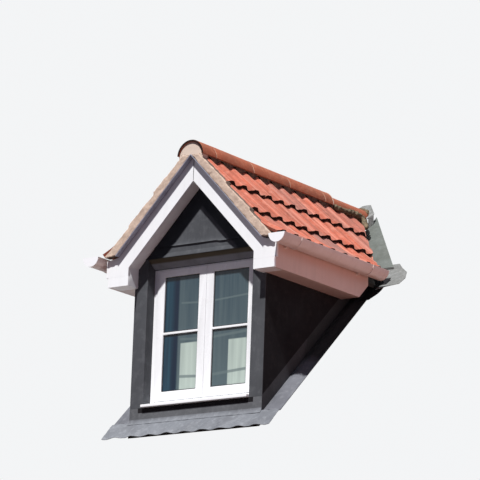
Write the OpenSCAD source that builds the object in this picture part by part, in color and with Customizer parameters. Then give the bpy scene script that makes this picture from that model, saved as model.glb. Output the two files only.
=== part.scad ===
// Gabled dormer window for a tiled roof: lead-clad walls, a pair of white casements,
// white barge boards and gutters, and a pantiled roof with a half-round ridge.
// Millimetres. +Z is up, +Y goes back up the slope and +X is to the right from outside.
// The origin is on the underside of the curb, under the middle of the front lead face.

/* [Slope under the dormer] */
// Pitch of the slope that the dormer stands on, in degrees
main_pitch = 43.6; // [42:0.1:46]
// Plumb height of the plane that the flashings are dressed to, above the curb's underside
main_rise = 100; // [90:1:115]
// Width of one wave of the dressed lead
lead_roll = 150; // [140:1:160]
// Depth of the waves in the dressed lead
lead_wave = 14; // [8:1:30]
// Place of a wave's crest, to the right of the dormer's middle
lead_phase = 20; // [0:1:75]

/* [Walls] */
// Width over the lead of the two cheeks
wall_w = 1132; // [1100:1:1180]
// Thickness of the lead sheet as modelled
lead_t = 4; // [3:0.5:5]
// Depth of the front wall's timber from front to back
front_d = 146; // [120:1:170]
// Plumb depth of the curb under the walls
curb_h = 50; // [40:1:54]
// How far the curb stands out in front of the lead face, under the apron
curb_nose = 14; // [10:1:80]
// Width of the curb's front and back members
curb_back_w = 100; // [70:1:130]
// Depth from front to back of the opening under the dormer
shaft_d = 1050; // [950:10:1080]
// Thickness of the inner lining boards
lining_t = 12.5; // [9:0.5:15]
// Height of the ceiling's underside
ceiling_z = 1250; // [1230:1:1270]

/* [Window] */
// Clear width between the lead reveals
opening_w = 910; // [880:1:940]
// Height of the underside of the sill
sill_z = 198; // [180:1:210]
// Height of the opening's head at the window frame
head_z = 1200; // [1180:1:1215]
// Rise of the head's lead soffit from the window frame to its front edge
head_rise = 58; // [40:1:70]
// Depth of the reveal in front of the window frame
reveal_d = 80; // [60:1:95]
// Thickness of the window frame from front to back
frame_d = 62; // [50:1:64]
// Face width of the outer frame
frame_w = 45; // [38:1:52]
// Width of the outer frame that shows round the casements
frame_show = 28; // [22:1:32]
// Face width of a casement stile
stile_w = 62; // [52:1:70]
// Height of a casement's bottom rail
bottom_rail = 66; // [60:1:80]
// Height of a casement's top rail
top_rail = 52; // [48:1:62]
// Thickness of a casement from front to back
sash_d = 44; // [36:1:50]
// Gap round each casement
sash_gap = 2; // [1:0.5:3]
// Height of a glazing bar
bar_h = 16; // [12:1:22]
// Height of the middle of the glazing bars
bar_z = 734; // [700:1:770]
// Thickness of a glass unit
glass_t = 20; // [14:1:24]
// How far the sill stands out in front of the lead face
sill_nose = 18; // [12:1:30]
// Thickness of the sill at its nose
sill_t = 19; // [15:1:24]

/* [Dormer roof] */
// Pitch of the dormer's tiles, in degrees
roof_pitch = 46; // [44:0.1:47]
// Height at which the planes of the tile crests would meet over the middle
crest_z = 2052; // [2044:1:2060]
// Width of one roll of the dormer's tiles
roll = 150; // [140:1:160]
// Depth of the rolls from crest to trough
roll_h = 36; // [26:1:40]
// Place of a tile crest behind the front lead face
roll_phase = 78; // [0:1:150]
// Thickness of the tiles
tile_t = 13; // [11:0.5:15]
// Distance between courses, measured down the slope
gauge = 300; // [285:1:310]
// Length by which a tile lies under the course above
headlap = 75; // [60:1:90]
// How far the eaves course reaches out over the gutter
eaves_lap = 13; // [5:1:20]
// How far the verge stands out in front of the lead face
verge_out = 165; // [155:1:180]
// Distance from the face of the verge back to the cut edge of the tiles
verge_cover = 15; // [10:1:25]
// Height of the battens under the heads of the tiles
batten_h = 24; // [18:1:30]
// Width of the battens
batten_w = 38; // [25:1:50]
// Thickness of the roof deck
deck_t = 18; // [12:1:22]
// Depth of the rafters
rafter_h = 75; // [60:1:90]
// Thickness of the rafters
rafter_t = 38; // [32:1:50]

/* [Ridge and verge] */
// Outer radius of the ridge tiles
ridge_r = 113; // [108:1:118]
// Thickness of the ridge tiles
ridge_t = 16; // [12:1:18]
// Drop of the ridge tiles' top below the point where the planes of the tile crests would meet
ridge_drop = 9; // [6:1:14]
// Spacing of the ridge tiles
ridge_len = 455; // [430:1:470]
// Place of the first ridge joint behind the front lead face
ridge_joint_y = -3; // [-40:1:40]
// Number of whole ridge tiles behind the first joint
ridge_count = 3; // [3:1:3]
// Length of the open tile behind the whole ones
ridge_open_len = 242; // [200:1:300]
// Width of a mortar joint between ridge tiles
joint_w = 7; // [4:1:10]
// Thickness of the undercloak strip
cloak_t = 6; // [4:0.5:8]

/* [Barge boards and eaves] */
// Pitch of the barge boards, in degrees
barge_pitch = 46.4; // [45.8:0.1:47]
// Plumb distance from the plane of the tile crests to the top of the barge boards
verge_depth = 119; // [110:1:130]
// Plumb depth of the barge boards
barge_h = 175; // [165:1:182]
// How far the face of the barge boards stands in front of the lead face
barge_out = 120; // [105:1:130]
// Thickness of the barge boards and box ends
board_t = 20; // [16:1:25]
// How far the box ends reach in over the cheeks
box_lap = 26; // [18:1:36]
// How far the eaves stand out from the cheeks
eaves_out = 152; // [140:1:156]
// How far the foot of a barge board stands out from its box end
barge_foot = 16; // [8:1:24]
// Height of the box ends under the barge boards
box_h = 69; // [55:1:85]
// Thickness of soffit boards and box returns
soffit_t = 10; // [8:1:14]
// Height of the side fascias
fascia_h = 188; // [170:1:194]
// Plumb gap between the eaves boards and the plane that the flashings are dressed to
eaves_gap = 75; // [55:1:90]
// Plumb distance from the plane of the tile crests to the top of the fascias
fascia_drop = 79; // [74:1:90]

/* [Gutters] */
// Outer radius of the gutters
gutter_r = 67; // [56:1:68]
// Wall thickness of the gutters
gutter_t = 3; // [2.5:0.5:4]
// Height of the gutters' rims above the fascias
gutter_rise = 20; // [10:1:30]
// Gap between gutter and fascia
gutter_gap = 16; // [10:1:20]
// How far the gutters reach in front of the lead face
gutter_out = 225; // [200:1:240]
// How far the gutters reach back
gutter_back = 1080; // [1000:5:1090]
// Width of a gutter bracket
bracket_w = 30; // [20:1:40]

/* [Flashings] */
// Length of the lead apron down the slope
apron_len = 178; // [150:1:200]
// How far the apron and side flashings reach beyond the cheeks
flash_wing = 150; // [120:1:170]
// Height of the side flashings' upstand, square to the roof
upstand_h = 75; // [60:1:95]
// Thickness of the valley troughs
valley_t = 4; // [3:0.5:6]
// Width of a valley trough on the dormer's side of the valley line, in plan
valley_w = 75; // [60:1:90]
// Width of a valley trough behind the valley line, in plan
valley_back_w = 115; // [90:1:130]
// Plan distance between the cut tiles and the valley line
valley_show = 28; // [20:1:55]
// Plan distance from the back of the valley line to the lower ends of the troughs
valley_run = 573; // [540:1:600]
// Plan length of a valley foot in front of the trough's end
foot_run = 325; // [300:1:345]
// How far a valley foot laps back under the trough's end
foot_lap = 50; // [30:1:70]
// Rise of a valley foot over the slope's tiles, from its back to its toe
foot_rise = 84; // [70:1:95]
// Width of a valley foot beyond the corner of the trough
foot_w = 163; // [140:1:175]
// How far the saddle laps over the end of the ridge
saddle_lap = 60; // [40:1:80]
// How far the saddle reaches back from the end of the ridge
saddle_nose = 38; // [25:1:50]
// Width of the saddle's side wings past its corner
saddle_wing = 36; // [25:1:45]

/* [Hidden] */
$fn = 64;
far = 6000;
eps = 0.01;
fit = 0.3;
tan_m = tan(main_pitch);
tan_r = tan(roof_pitch);
tan_b = tan(barge_pitch);
wall_x = wall_w / 2;
open_x = opening_w / 2;
stud_x = wall_x - lead_t;
room_x = open_x + lead_t;
front_back = lead_t + front_d;
bend_z = main_rise;
courses = 3;
tile_tilt = asin((tile_t + fit) / gauge);
gauge_x = gauge * cos(roof_pitch);
course_pitch = roof_pitch - tile_tilt;
box_in_x = wall_x - box_lap;
box_out_x = wall_x + eaves_out;
barge_out_x = box_out_x + barge_foot;
first_tail_x = box_out_x + eaves_lap - gauge_x * (courses - 1);
// the deck lies one batten under the heads of the tiles
tile_drop = (roll_h + tile_t + (gauge + headlap) * sin(tile_tilt) + fit + batten_h) / cos(roof_pitch);
deck_z = crest_z - tile_drop;
deck_under = deck_z - deck_t / cos(roof_pitch);
deck_front = -barge_out + board_t;
ridge_z = crest_z - ridge_drop;
ridge_cz = ridge_z - ridge_r;
ridge_foot_rise = 5;
ridge_foot_z = ridge_cz + ridge_foot_rise;
ridge_foot_x = sqrt(pow(ridge_r, 2) - pow(ridge_foot_rise, 2));
ridge_open_y = ridge_joint_y + ridge_len * ridge_count + ridge_open_len;
ridge_cut_drop = ridge_t / 2;
ridge_bed_x = ridge_foot_x - 12;
tile_head_x = ridge_foot_x - 38;
verge_fill = 16;
verge_cut = -verge_out + verge_cover;
cloak_z = crest_z - verge_depth;
barge_apex_z = cloak_z - barge_h;
cloak_end_x = box_out_x - 90;
fascia_x = box_out_x - board_t;
fascia_top = crest_z - fascia_x * tan_r - fascia_drop;
soffit_z = fascia_top - fascia_h;
box_top_z = soffit_z + box_h;
fascia_back = gutter_back - 40;
gutter_x = box_out_x + gutter_gap + gutter_r;
gutter_z = fascia_top + gutter_rise;
head_front_z = head_z + head_rise;
kick_z = head_front_z + 4;
fold_z = kick_z + 28;
gable_lap_z = kick_z + 79;
flash_top_z = kick_z + 11;
soffit_apex_z = barge_apex_z + 8;
sash_y = lead_t + reveal_d - 4;
frame_y = lead_t + reveal_d;
sash_back = sash_y + sash_d + fit;
sash_x = open_x - frame_show - sash_gap;
sash_rise = 52;
sash_bottom = sill_z + sash_rise + sash_gap;
sash_top = head_z - 6;
mullion_w = 50;
frame_bottom = sill_z + sill_t + 6;
shaft_back = front_back + shaft_d;
apron_top = sill_z - fit;
flash_len = 1560;
flash_out_x = wall_x + flash_wing;
// the valley line in plan: y where it meets the middle, and its fall per unit of x
valley_lift = 20;
valley_line_y = (deck_z - valley_lift) / tan_m;
valley_slope = tan_r / tan_m;
plan_skew = sqrt(1 + valley_slope * valley_slope);
valley_end_x = flash_out_x - fit;
valley_end_y = valley_line_y - valley_run;
saddle_drop = 2 * saddle_nose;
foot_x = box_out_x + 24;
foot_end_x = foot_x + foot_w;

timber_c = [0.76, 0.62, 0.43];
board_c = [0.93, 0.93, 0.94];
lead_c = [0.34, 0.35, 0.37];
apron_c = [0.56, 0.59, 0.63];
tile_c = [0.78, 0.42, 0.34];
ridge_c = [0.70, 0.36, 0.26];
mortar_c = [0.79, 0.70, 0.62];
valley_c = [0.53, 0.59, 0.57];
glass_c = [0.25, 0.33, 0.38];

// Extrudes an outline drawn in x and z along y.
module along_y(y0, y1) {
    translate([0, y1, 0])
        rotate([90, 0, 0])
            linear_extrude(y1 - y0) children();
}

// Extrudes an outline drawn in y and z along x.
module along_x(x0, x1) {
    translate([x0, 0, 0])
        rotate([90, 0, 90])
            linear_extrude(x1 - x0) children();
}

// Repeats a piece on the left as its mirror image.
module both_sides() {
    children();
    mirror([1, 0, 0]) children();
}

// All space above the plane of the curb's underside raised plumb by h.
module above_main(h) {
    along_x(-far, far)
        polygon([[-far, h - far * tan_m], [far, h + far * tan_m], [far, 3 * far], [-far, 3 * far]]);
}

// The layer between two planes along the slope.
module main_layer(h0, h1) {
    along_x(-far, far)
        polygon([[-far, h0 - far * tan_m], [far, h0 + far * tan_m],
            [far, h1 + far * tan_m], [-far, h1 - far * tan_m]]);
}

// An upright block that covers a rectangle of the plan.
module plan_block(x0, x1, y0, y1) {
    translate([x0, y0, -far]) cube([x1 - x0, y1 - y0, 2 * far]);
}

// All space under a gable whose slopes meet at height z over the middle.
module under_gable(z, slope) {
    along_y(-far, far)
        polygon([[0, z], [far, z - far * slope], [-far, z - far * slope]]);
}

// Height of a gabled plane at a distance from the middle.
function gable_at(z, slope, x) = z - abs(x) * slope;

// The roll of a pantile: 0 at a crest and minus its depth in a trough.
function roll_at(s, pitch, depth, phase) = depth * (cos(360 * (s - phase) / pitch) - 1) / 2;

// Points of a rolled surface from s0 to s1, raised by lift.
function roll_line(s0, s1, pitch, depth, phase, lift) =
    let (steps = ceil((s1 - s0) * 8 / pitch))
    [for (i = [0 : steps]) let (s = s0 + (s1 - s0) * i / steps) [s, roll_at(s, pitch, depth, phase) + lift]];

function reversed(points) = [for (i = [len(points) - 1 : -1 : 0]) points[i]];

// Outline of a rolled sheet of thickness t whose crests touch height 0.
function rolled_sheet(s0, s1, pitch, depth, phase, t) = concat(
    roll_line(s0, s1, pitch, depth, phase, 0),
    reversed(roll_line(s0, s1, pitch, depth, phase, -t)));

// Timber curb: four members round the opening, which the dormer stands on.
module base_curb() {
    color(timber_c)
        intersection() {
            main_layer(0, curb_h);
            difference() {
                plan_block(-stud_x, stud_x, -curb_nose, shaft_back + curb_back_w);
                plan_block(-room_x, room_x, front_back, shaft_back);
            }
        }
}

// Front wall: posts, lintel and sill wall round the window, and the studwork of the gable.
module front_wall() {
    gable_stud_d = 96;
    color(timber_c)
        difference() {
            intersection() {
                above_main(curb_h);
                under_gable(deck_under, tan_r);
                plan_block(-stud_x, stud_x, lead_t, front_back);
            }
            along_x(-room_x, room_x)
                polygon([[-far, sill_z], [far, sill_z], [far, head_z + lead_t], [frame_y, head_z + lead_t],
                    [0, head_front_z + lead_t], [-far, head_front_z + lead_t]]);
            translate([-far, lead_t + gable_stud_d, fold_z + lead_t]) cube([2 * far, far, far]);
        }
}

// Insulated stud wall of the right cheek.
module cheek_wall() {
    color(timber_c)
        intersection() {
            above_main(curb_h);
            under_gable(deck_under, tan_r);
            plan_block(room_x, stud_x, front_back, shaft_back + curb_back_w);
        }
}

// Lining boards inside both cheeks.
module cheek_linings() {
    color(board_c)
        both_sides()
            intersection() {
                above_main(curb_h);
                plan_block(room_x - lining_t, room_x, front_back, shaft_back);
                cube([far, far, ceiling_z]);
            }
}

// Flat ceiling board between the cheeks.
module ceiling_lining() {
    color(board_c)
        intersection() {
            above_main(curb_h);
            translate([-room_x, front_back, ceiling_z]) cube([2 * room_x, far, lining_t]);
            along_y(0, far)
                polygon([[0, deck_under - fit], [far, gable_at(deck_under - fit, tan_r, far)],
                    [-far, gable_at(deck_under - fit, tan_r, far)]]);
        }
}

// Board deck of both slopes under the battens and tiles.
module roof_deck() {
    color(timber_c)
        intersection() {
            above_main(valley_lift + valley_t);
            along_y(deck_front, far)
                polygon([[0, deck_z], [fascia_x, gable_at(deck_z, tan_r, fascia_x)],
                    [fascia_x, gable_at(deck_under, tan_r, fascia_x)], [0, deck_under],
                    [-fascia_x, gable_at(deck_under, tan_r, fascia_x)],
                    [-fascia_x, gable_at(deck_z, tan_r, fascia_x)]]);
        }
}

// Ridge board and pairs of rafters under the deck.
module rafters() {
    rafter_drop = rafter_h / cos(roof_pitch);
    ridge_board_h = 140;
    spacing = 400;
    color(timber_c)
        intersection() {
            above_main(valley_lift + valley_t);
            under_gable(deck_under, tan_r);
            union() {
                translate([-rafter_t / 4, front_back, deck_under - ridge_board_h])
                    cube([rafter_t / 2, far, ridge_board_h]);
                for (i = [0 : 3])
                    difference() {
                        translate([-room_x, front_back + 10 + spacing * i, ceiling_z + lining_t])
                            cube([2 * room_x, rafter_t, far]);
                        under_gable(deck_under - rafter_drop, tan_r);
                    }
            }
        }
}

// Battens under the heads of the tile courses.
module battens() {
    color(timber_c)
        both_sides()
            for (i = [0 : courses - 1])
                difference() {
                    intersection() {
                        on_course(i)
                            polygon([[deck_front, -roll_h - tile_t - fit], [deck_front, -far / 8],
                                [far / 2, -far / 8], [far / 2, -roll_h - tile_t - fit]]);
                        on_slope_band(i);
                        short_of_valley(valley_w + 1);
                    }
                    under_gable(deck_z, tan_r);
                }
}

// Upright slab of the plan over one batten of the right slope.
module on_slope_band(i) {
    inset = 44;
    head_x = first_tail_x + gauge_x * i - course_len(i) * cos(course_pitch);
    plan_block(head_x + inset, head_x + inset + batten_w * cos(roof_pitch), -far, far);
}

// Plan area of the right slope up to a line beside the valley line, at a plan distance from it.
module short_of_valley(distance) {
    cut_y = valley_line_y - distance * plan_skew;
    translate([0, 0, -far])
        linear_extrude(3 * far)
            polygon([[tile_head_x, -verge_out], [(cut_y + verge_out) / valley_slope, -verge_out],
                [tile_head_x, cut_y - tile_head_x * valley_slope]]);
}

// Length of a course up the slope: the top one reaches up under the ridge.
function course_len(i) = i == 0 ? (first_tail_x - tile_head_x + 33) / cos(course_pitch) : gauge + headlap;

// Places an outline in y and height over the right slope, from a course's tail up to its head.
module on_course(i, past_tail = 0) {
    tail_x = first_tail_x + gauge_x * i;
    translate([tail_x, 0, gable_at(crest_z, tan_r, tail_x)])
        rotate([0, course_pitch, 0])
            translate([-course_len(i), 0, 0])
                rotate([90, 0, 90])
                    linear_extrude(course_len(i) + past_tail) children();
}

// One course of pantiles on the right slope.
module tile_course(i) {
    color(tile_c)
        intersection() {
            on_course(i)
                polygon(rolled_sheet(verge_cut, far / 2.5, roll, roll_h, roll_phase, tile_t));
            short_of_valley(valley_show);
        }
}

// The space over a course of tiles, from its under side, or from its top with a lift.
module course_space(i, s0, s1, lift) {
    on_course(i)
        polygon(concat([[s1, far / 4], [s0, far / 4]],
            roll_line(s0, s1, roll, roll_h, roll_phase, lift)));
}

// Half-round ridge tiles with open mortar joints, and a lower cut piece at the back.
module ridge_tiles() {
    color(ridge_c)
        intersection() {
            above_main(main_rise);
            union() {
                along_y(-verge_out - 4, ridge_joint_y - joint_w / 2) ridge_section(ridge_r, ridge_r - ridge_t);
                for (i = [0 : ridge_count - 1])
                    along_y(ridge_joint_y + ridge_len * i + joint_w / 2,
                        ridge_joint_y + ridge_len * (i + 1) - joint_w / 2)
                        ridge_section(ridge_r, ridge_r - ridge_t);
                along_y(ridge_joint_y + ridge_len * ridge_count + joint_w / 2, ridge_open_y)
                    ridge_section(ridge_r, ridge_r - ridge_t);
                along_y(ridge_open_y - 40, far)
                    ridge_section(ridge_r - ridge_cut_drop, ridge_r - ridge_t);
            }
        }
}

module ridge_section(r_out, r_in) {
    difference() {
        translate([0, ridge_cz]) circle(r_out);
        translate([0, ridge_cz]) circle(r_in);
        translate([-far, ridge_foot_z - far]) square([2 * far, far]);
    }
}

// Mortar in the front end of the ridge, in its joints and under its two feet.
module ridge_mortar() {
    color(mortar_c)
        intersection() {
            above_main(main_rise);
            union() {
                for (i = [0 : ridge_count])
                    along_y(ridge_joint_y + ridge_len * i - joint_w / 2,
                        ridge_joint_y + ridge_len * i + joint_w / 2)
                        ridge_section(ridge_r - 2, ridge_r - ridge_t);
                difference() {
                    intersection() {
                        ridge_bedding();
                        clear_of_tiles();
                    }
                    verge_filling();
                }
            }
        }
}

// The bed along both feet, and the plug in the front end.
module ridge_bedding() {
    head_in = tile_head_x - fit;
    bed_in = head_in - 20;
    bed_low = deck_z + fit;
    bed_h = 80;
    cloak_top = cloak_z + cloak_t + fit;
    along_y(-verge_out + 6, -verge_out + 60)
        difference() {
            translate([0, ridge_cz]) circle(ridge_r - ridge_t - fit);
            translate([-far, ridge_foot_z - far]) square([2 * far, far]);
            polygon([[0, cloak_top], [far, gable_at(cloak_top, tan_b, far)],
                [-far, gable_at(cloak_top, tan_b, far)]]);
        }
    both_sides() {
        along_y(deck_front, far)
            polygon([[bed_in, ridge_foot_z], [ridge_bed_x, ridge_foot_z],
                [head_in, gable_at(bed_low, tan_r, head_in)], [bed_in, gable_at(bed_low, tan_r, bed_in)]]);
        along_y(-verge_out + 6, deck_front + 1)
            translate([tile_head_x, ridge_foot_z - bed_h]) square([ridge_bed_x - tile_head_x, bed_h]);
    }
}

// All space inside the cut heads of the top courses, or over the tiles themselves.
module clear_of_tiles() {
    plan_block(-tile_head_x + fit, tile_head_x - fit, -far, far);
    both_sides() course_space(0, verge_cut - roll / 8, far / 2.5, fit);
}

// The space under the top of the verge mortar, outside the heads of the tiles.
module verge_filling() {
    intersection() {
        translate([-far, -far, -far]) cube([2 * far, far + deck_front + fit, far + ridge_foot_z]);
        both_sides()
            on_course(0)
                translate([-far / 2, -verge_fill + fit - far / 4]) square([far, far / 4]);
    }
}

// Bedded mortar on the undercloak along both verges, filled up over the cut edges of the tiles.
module verge_mortar() {
    low = cloak_z + cloak_t;
    foot_low = gable_at(low, tan_b, cloak_end_x);
    in_x = max(1, (low - ridge_foot_z) / tan_b + 1);
    head_in = tile_head_x - fit;
    end_x = box_out_x + 8;
    color(mortar_c)
        both_sides()
            difference() {
                along_y(-verge_out, deck_front)
                    polygon([[in_x, gable_at(low, tan_b, in_x)], [cloak_end_x, foot_low],
                        [end_x, foot_low - 12], [end_x, gable_at(crest_z, tan_r, end_x)],
                        [head_in, gable_at(crest_z, tan_r, head_in)], [head_in, ridge_foot_z],
                        [in_x, ridge_foot_z]]);
                for (i = [0 : courses - 1]) {
                    tail_x = first_tail_x + gauge_x * i;
                    intersection() {
                        on_course(i, gauge)
                            translate([-far / 2, -verge_fill]) square([far, far / 4]);
                        plan_block(i == 0 ? 0 : tail_x - gauge_x,
                            i == courses - 1 ? far : tail_x + eps, -far, far);
                    }
                    on_course(i)
                        offset(delta = fit)
                            polygon(rolled_sheet(verge_cut, 0, roll, roll_h, roll_phase, tile_t));
                }
            }
}

// Thin strip under the verge mortar, laid on the barge boards.
module undercloak() {
    color([0.62, 0.62, 0.66])
        along_y(-verge_out, deck_front)
            polygon([[0, cloak_z + cloak_t], [cloak_end_x, gable_at(cloak_z + cloak_t, tan_b, cloak_end_x)],
                [cloak_end_x, gable_at(cloak_z, tan_b, cloak_end_x)], [0, cloak_z],
                [-cloak_end_x, gable_at(cloak_z, tan_b, cloak_end_x)],
                [-cloak_end_x, gable_at(cloak_z + cloak_t, tan_b, cloak_end_x)]]);
}

// Barge board of the right slope, mitred plumb at the apex, with its shaped foot.
module barge_board() {
    foot_top = gable_at(cloak_z, tan_b, cloak_end_x);
    barge_bevel = 20;
    color(board_c)
        along_y(-barge_out, deck_front)
            polygon([[0, barge_apex_z], [box_in_x, gable_at(barge_apex_z, tan_b, box_in_x)],
                [box_in_x, box_top_z], [barge_out_x, box_top_z], [barge_out_x, foot_top - barge_bevel],
                [cloak_end_x, foot_top], [0, cloak_z]]);
}

// Box ends under the barge boards' feet, with their inner returns.
module box_ends() {
    back_x = box_in_x + soffit_t;
    color(board_c)
        both_sides()
            union() {
                along_y(-barge_out, deck_front)
                    polygon([[box_in_x, soffit_z], [box_out_x, soffit_z],
                        [box_out_x, box_top_z], [box_in_x, box_top_z]]);
                along_y(deck_front, 0)
                    polygon([[box_in_x, soffit_z], [fascia_x, soffit_z], [fascia_x, soffit_z + soffit_t],
                        [back_x, soffit_z + soffit_t], [back_x, gable_at(soffit_apex_z, tan_b, back_x)],
                        [box_in_x, gable_at(soffit_apex_z, tan_b, box_in_x)]]);
            }
}

// Sloping soffit between the barge boards and the gable wall.
module gable_soffit() {
    end_x = box_in_x + soffit_t;
    high = soffit_apex_z + soffit_t / cos(barge_pitch);
    color(board_c)
        along_y(deck_front, 0)
            polygon([[0, high], [end_x, gable_at(high, tan_b, end_x)],
                [end_x, gable_at(soffit_apex_z, tan_b, end_x)], [0, soffit_apex_z],
                [-end_x, gable_at(soffit_apex_z, tan_b, end_x)], [-end_x, gable_at(high, tan_b, end_x)]]);
}

// Level soffit boards between the cheeks and the side fascias.
module eaves_soffits() {
    color(board_c)
        both_sides()
            intersection() {
                above_main(main_rise + eaves_gap);
                translate([wall_x, 0, soffit_z]) cube([fascia_x - wall_x, far, soffit_t]);
            }
}

// Side fascias, cut at the back along the slope.
module fascias() {
    color(board_c)
        both_sides()
            intersection() {
                above_main(main_rise + eaves_gap);
                translate([fascia_x, deck_front, soffit_z])
                    cube([board_t, fascia_back - deck_front, fascia_h]);
            }
}

// Half-round gutter of the right eaves with a stop end at each end.
module gutter() {
    color(board_c)
        difference() {
            along_y(-gutter_out, gutter_back) under_rim() circle(gutter_r);
            along_y(-gutter_out + gutter_t, gutter_back - gutter_t)
                translate([gutter_x, gutter_z]) circle(gutter_r - gutter_t);
        }
}

// The lower half of an outline drawn round the gutter's axis.
module under_rim() {
    intersection() {
        translate([gutter_x, gutter_z]) children();
        translate([0, gutter_z - far]) square([2 * far, far]);
    }
}

// Straps that hold each gutter to its fascia.
module gutter_brackets() {
    strap_t = 4;
    plate_h = 36;
    color(board_c)
        both_sides()
            for (y = [0, gutter_back - 190])
                along_y(y - bracket_w / 2, y + bracket_w / 2)
                    difference() {
                        union() {
                            under_rim() circle(gutter_r + fit + strap_t);
                            translate([box_out_x, fascia_top - plate_h]) square([gutter_gap + strap_t, plate_h]);
                        }
                        translate([gutter_x, gutter_z]) circle(gutter_r + fit);
                    }
}

// Valley troughs: a folded sheet along the line where both roofs meet.
module valleys() {
    color(valley_c)
        both_sides()
            intersection() {
                difference() {
                    union() {
                        under_gable(deck_z + valley_t, tan_r);
                        main_layer(-far, valley_lift + valley_t);
                    }
                    under_gable(deck_z + fit, tan_r);
                    main_layer(-2 * far, valley_lift);
                }
                valley_plan(valley_w * plan_skew, valley_back_w * plan_skew, ridge_foot_x, valley_end_x);
                plan_block(0, far, valley_end_y, far);
            }
}

// Plan strip along the right valley line, from x0 to x1, reaching front and back of it.
module valley_plan(front, back, x0, x1) {
    translate([0, 0, -far])
        linear_extrude(3 * far)
            polygon([[x0, valley_line_y - valley_slope * x0 - front],
                [x1, valley_line_y - valley_slope * x1 - front],
                [x1, valley_line_y - valley_slope * x1 + back],
                [x0, valley_line_y - valley_slope * x0 + back]]);
}

// Lead saddle round the back end of the ridge, with a block under each side down to the valley.
module valley_saddles() {
    side_x = ridge_foot_x + 30;
    ridge_end_y = (ridge_z - main_rise) / tan_m;
    color(apron_c)
        both_sides()
            difference() {
                union() {
                    intersection() {
                        main_layer(main_rise, main_rise + lead_t / cos(main_pitch));
                        saddle_plan([[0, ridge_end_y - saddle_lap], [0, ridge_end_y + saddle_nose],
                            [saddle_nose, ridge_end_y + saddle_nose - lead_t],
                            [side_x, ridge_end_y - saddle_drop],
                            [side_x - saddle_wing, ridge_end_y - saddle_drop - saddle_lap]]);
                    }
                    intersection() {
                        main_layer(valley_lift + valley_t + fit, main_rise + eps);
                        saddle_plan([[ridge_foot_x + 1, ridge_end_y - 112], [side_x, ridge_end_y - 82],
                            [side_x - 20, ridge_end_y - 116]]);
                    }
                }
                along_y(0, far) translate([0, ridge_cz]) circle(ridge_r - ridge_cut_drop + fit);
            }
}

// Upright block over an outline of the plan.
module saddle_plan(points) {
    translate([0, 0, -far]) linear_extrude(3 * far) polygon(points);
}

// Lead pieces under the feet of the valleys, which rise to lie over the slope's tiles.
module valley_feet() {
    low = valley_lift - lead_t - fit;
    fold_y = valley_end_y;
    toe_y = fold_y - foot_run;
    back_y = fold_y + foot_lap;
    function on_slope(y, h) = [y, y * tan_m + h];
    color(apron_c)
        both_sides()
            intersection() {
                along_x(0, far)
                    polygon([on_slope(back_y, low), on_slope(back_y, low + lead_t),
                        on_slope(fold_y, low + lead_t), on_slope(toe_y, low + foot_rise + lead_t),
                        on_slope(toe_y, low + foot_rise), on_slope(fold_y, low)]);
                saddle_plan([[foot_x, valley_edge_y(foot_x)], [wall_x + 34, valley_edge_y(wall_x + 34)],
                    [wall_x + 34, back_y], [wall_x + 134, back_y], [foot_end_x - 55, fold_y - 85],
                    [foot_end_x - 3, fold_y - 185], [foot_end_x, toe_y + 55],
                    [foot_end_x - 95, toe_y + 35], [foot_x, toe_y]]);
            }
}

// Plan line just behind the dormer's deck on the valley line.
function valley_edge_y(x) = valley_line_y - valley_slope * x + 6;

// Places an outline in x and height over the flashings' plane, from s0 to s1 down the slope.
module on_main(s0, s1) {
    translate([0, 0, bend_z])
        rotate([90 + main_pitch, 0, 0])
            translate([0, 0, s0])
                linear_extrude(s1 - s0) children();
}

// Upper lead sheet in the gable.
module gable_lead_upper() {
    color(lead_c)
        intersection() {
            under_gable(soffit_apex_z, tan_b);
            translate([-far, 0, gable_lap_z]) cube([2 * far, lead_t, far]);
        }
}

// Lower lead sheet in the gable, which kicks out over the head flashing.
module gable_lead_lower() {
    kick = 8;
    color(lead_c)
        intersection() {
            under_gable(soffit_apex_z, tan_b);
            along_x(-far, far)
                polygon([[0, gable_lap_z - fit], [lead_t, gable_lap_z - fit], [lead_t, fold_z],
                    [-kick + lead_t, kick_z], [-kick, kick_z], [-kick, kick_z + lead_t], [0, fold_z + lead_t]]);
        }
}

// Lead over the window head, which slopes down under the reveal to the window frame.
module head_flashing() {
    color(lead_c)
        along_x(-open_x, open_x)
            polygon([[0, flash_top_z], [lead_t, flash_top_z], [lead_t, head_line(lead_t) + lead_t],
                [frame_y, head_z + lead_t], [frame_y, head_z], [0, head_front_z]]);
}

// Height of the head's lead soffit behind the lead face.
function head_line(y) = head_front_z - head_rise * y / frame_y;

// Lead over the right corner post: front strip, corner and reveal.
module front_lead() {
    color(lead_c)
        union() {
            translate([open_x, 0, sill_z]) cube([wall_x - open_x, lead_t, flash_top_z - sill_z]);
            along_x(open_x, open_x + lead_t)
                polygon([[0, sill_z], [frame_y, sill_z], [frame_y, head_z + lead_t], [0, head_front_z + lead_t]]);
        }
}

// Lead over the right cheek.
module cheek_lead() {
    color(lead_c)
        intersection() {
            above_main(main_rise + upstand_h / cos(main_pitch));
            translate([stud_x, lead_t, 0]) cube([lead_t, far, soffit_z + soffit_t]);
        }
}

// Lead apron under the sill, dressed down the slope in shallow waves.
module apron_lead() {
    color(apron_c)
        union() {
            translate([-wall_x, 0, curb_h + 6]) cube([2 * wall_x, lead_t, apron_top - curb_h - 6]);
            difference() {
                on_main(0, apron_len)
                    polygon(rolled_sheet(-flash_out_x, flash_out_x, lead_roll, lead_wave, lead_phase, lead_t));
                plan_block(-stud_x, stud_x, lead_t, far);
            }
        }
}

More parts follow.
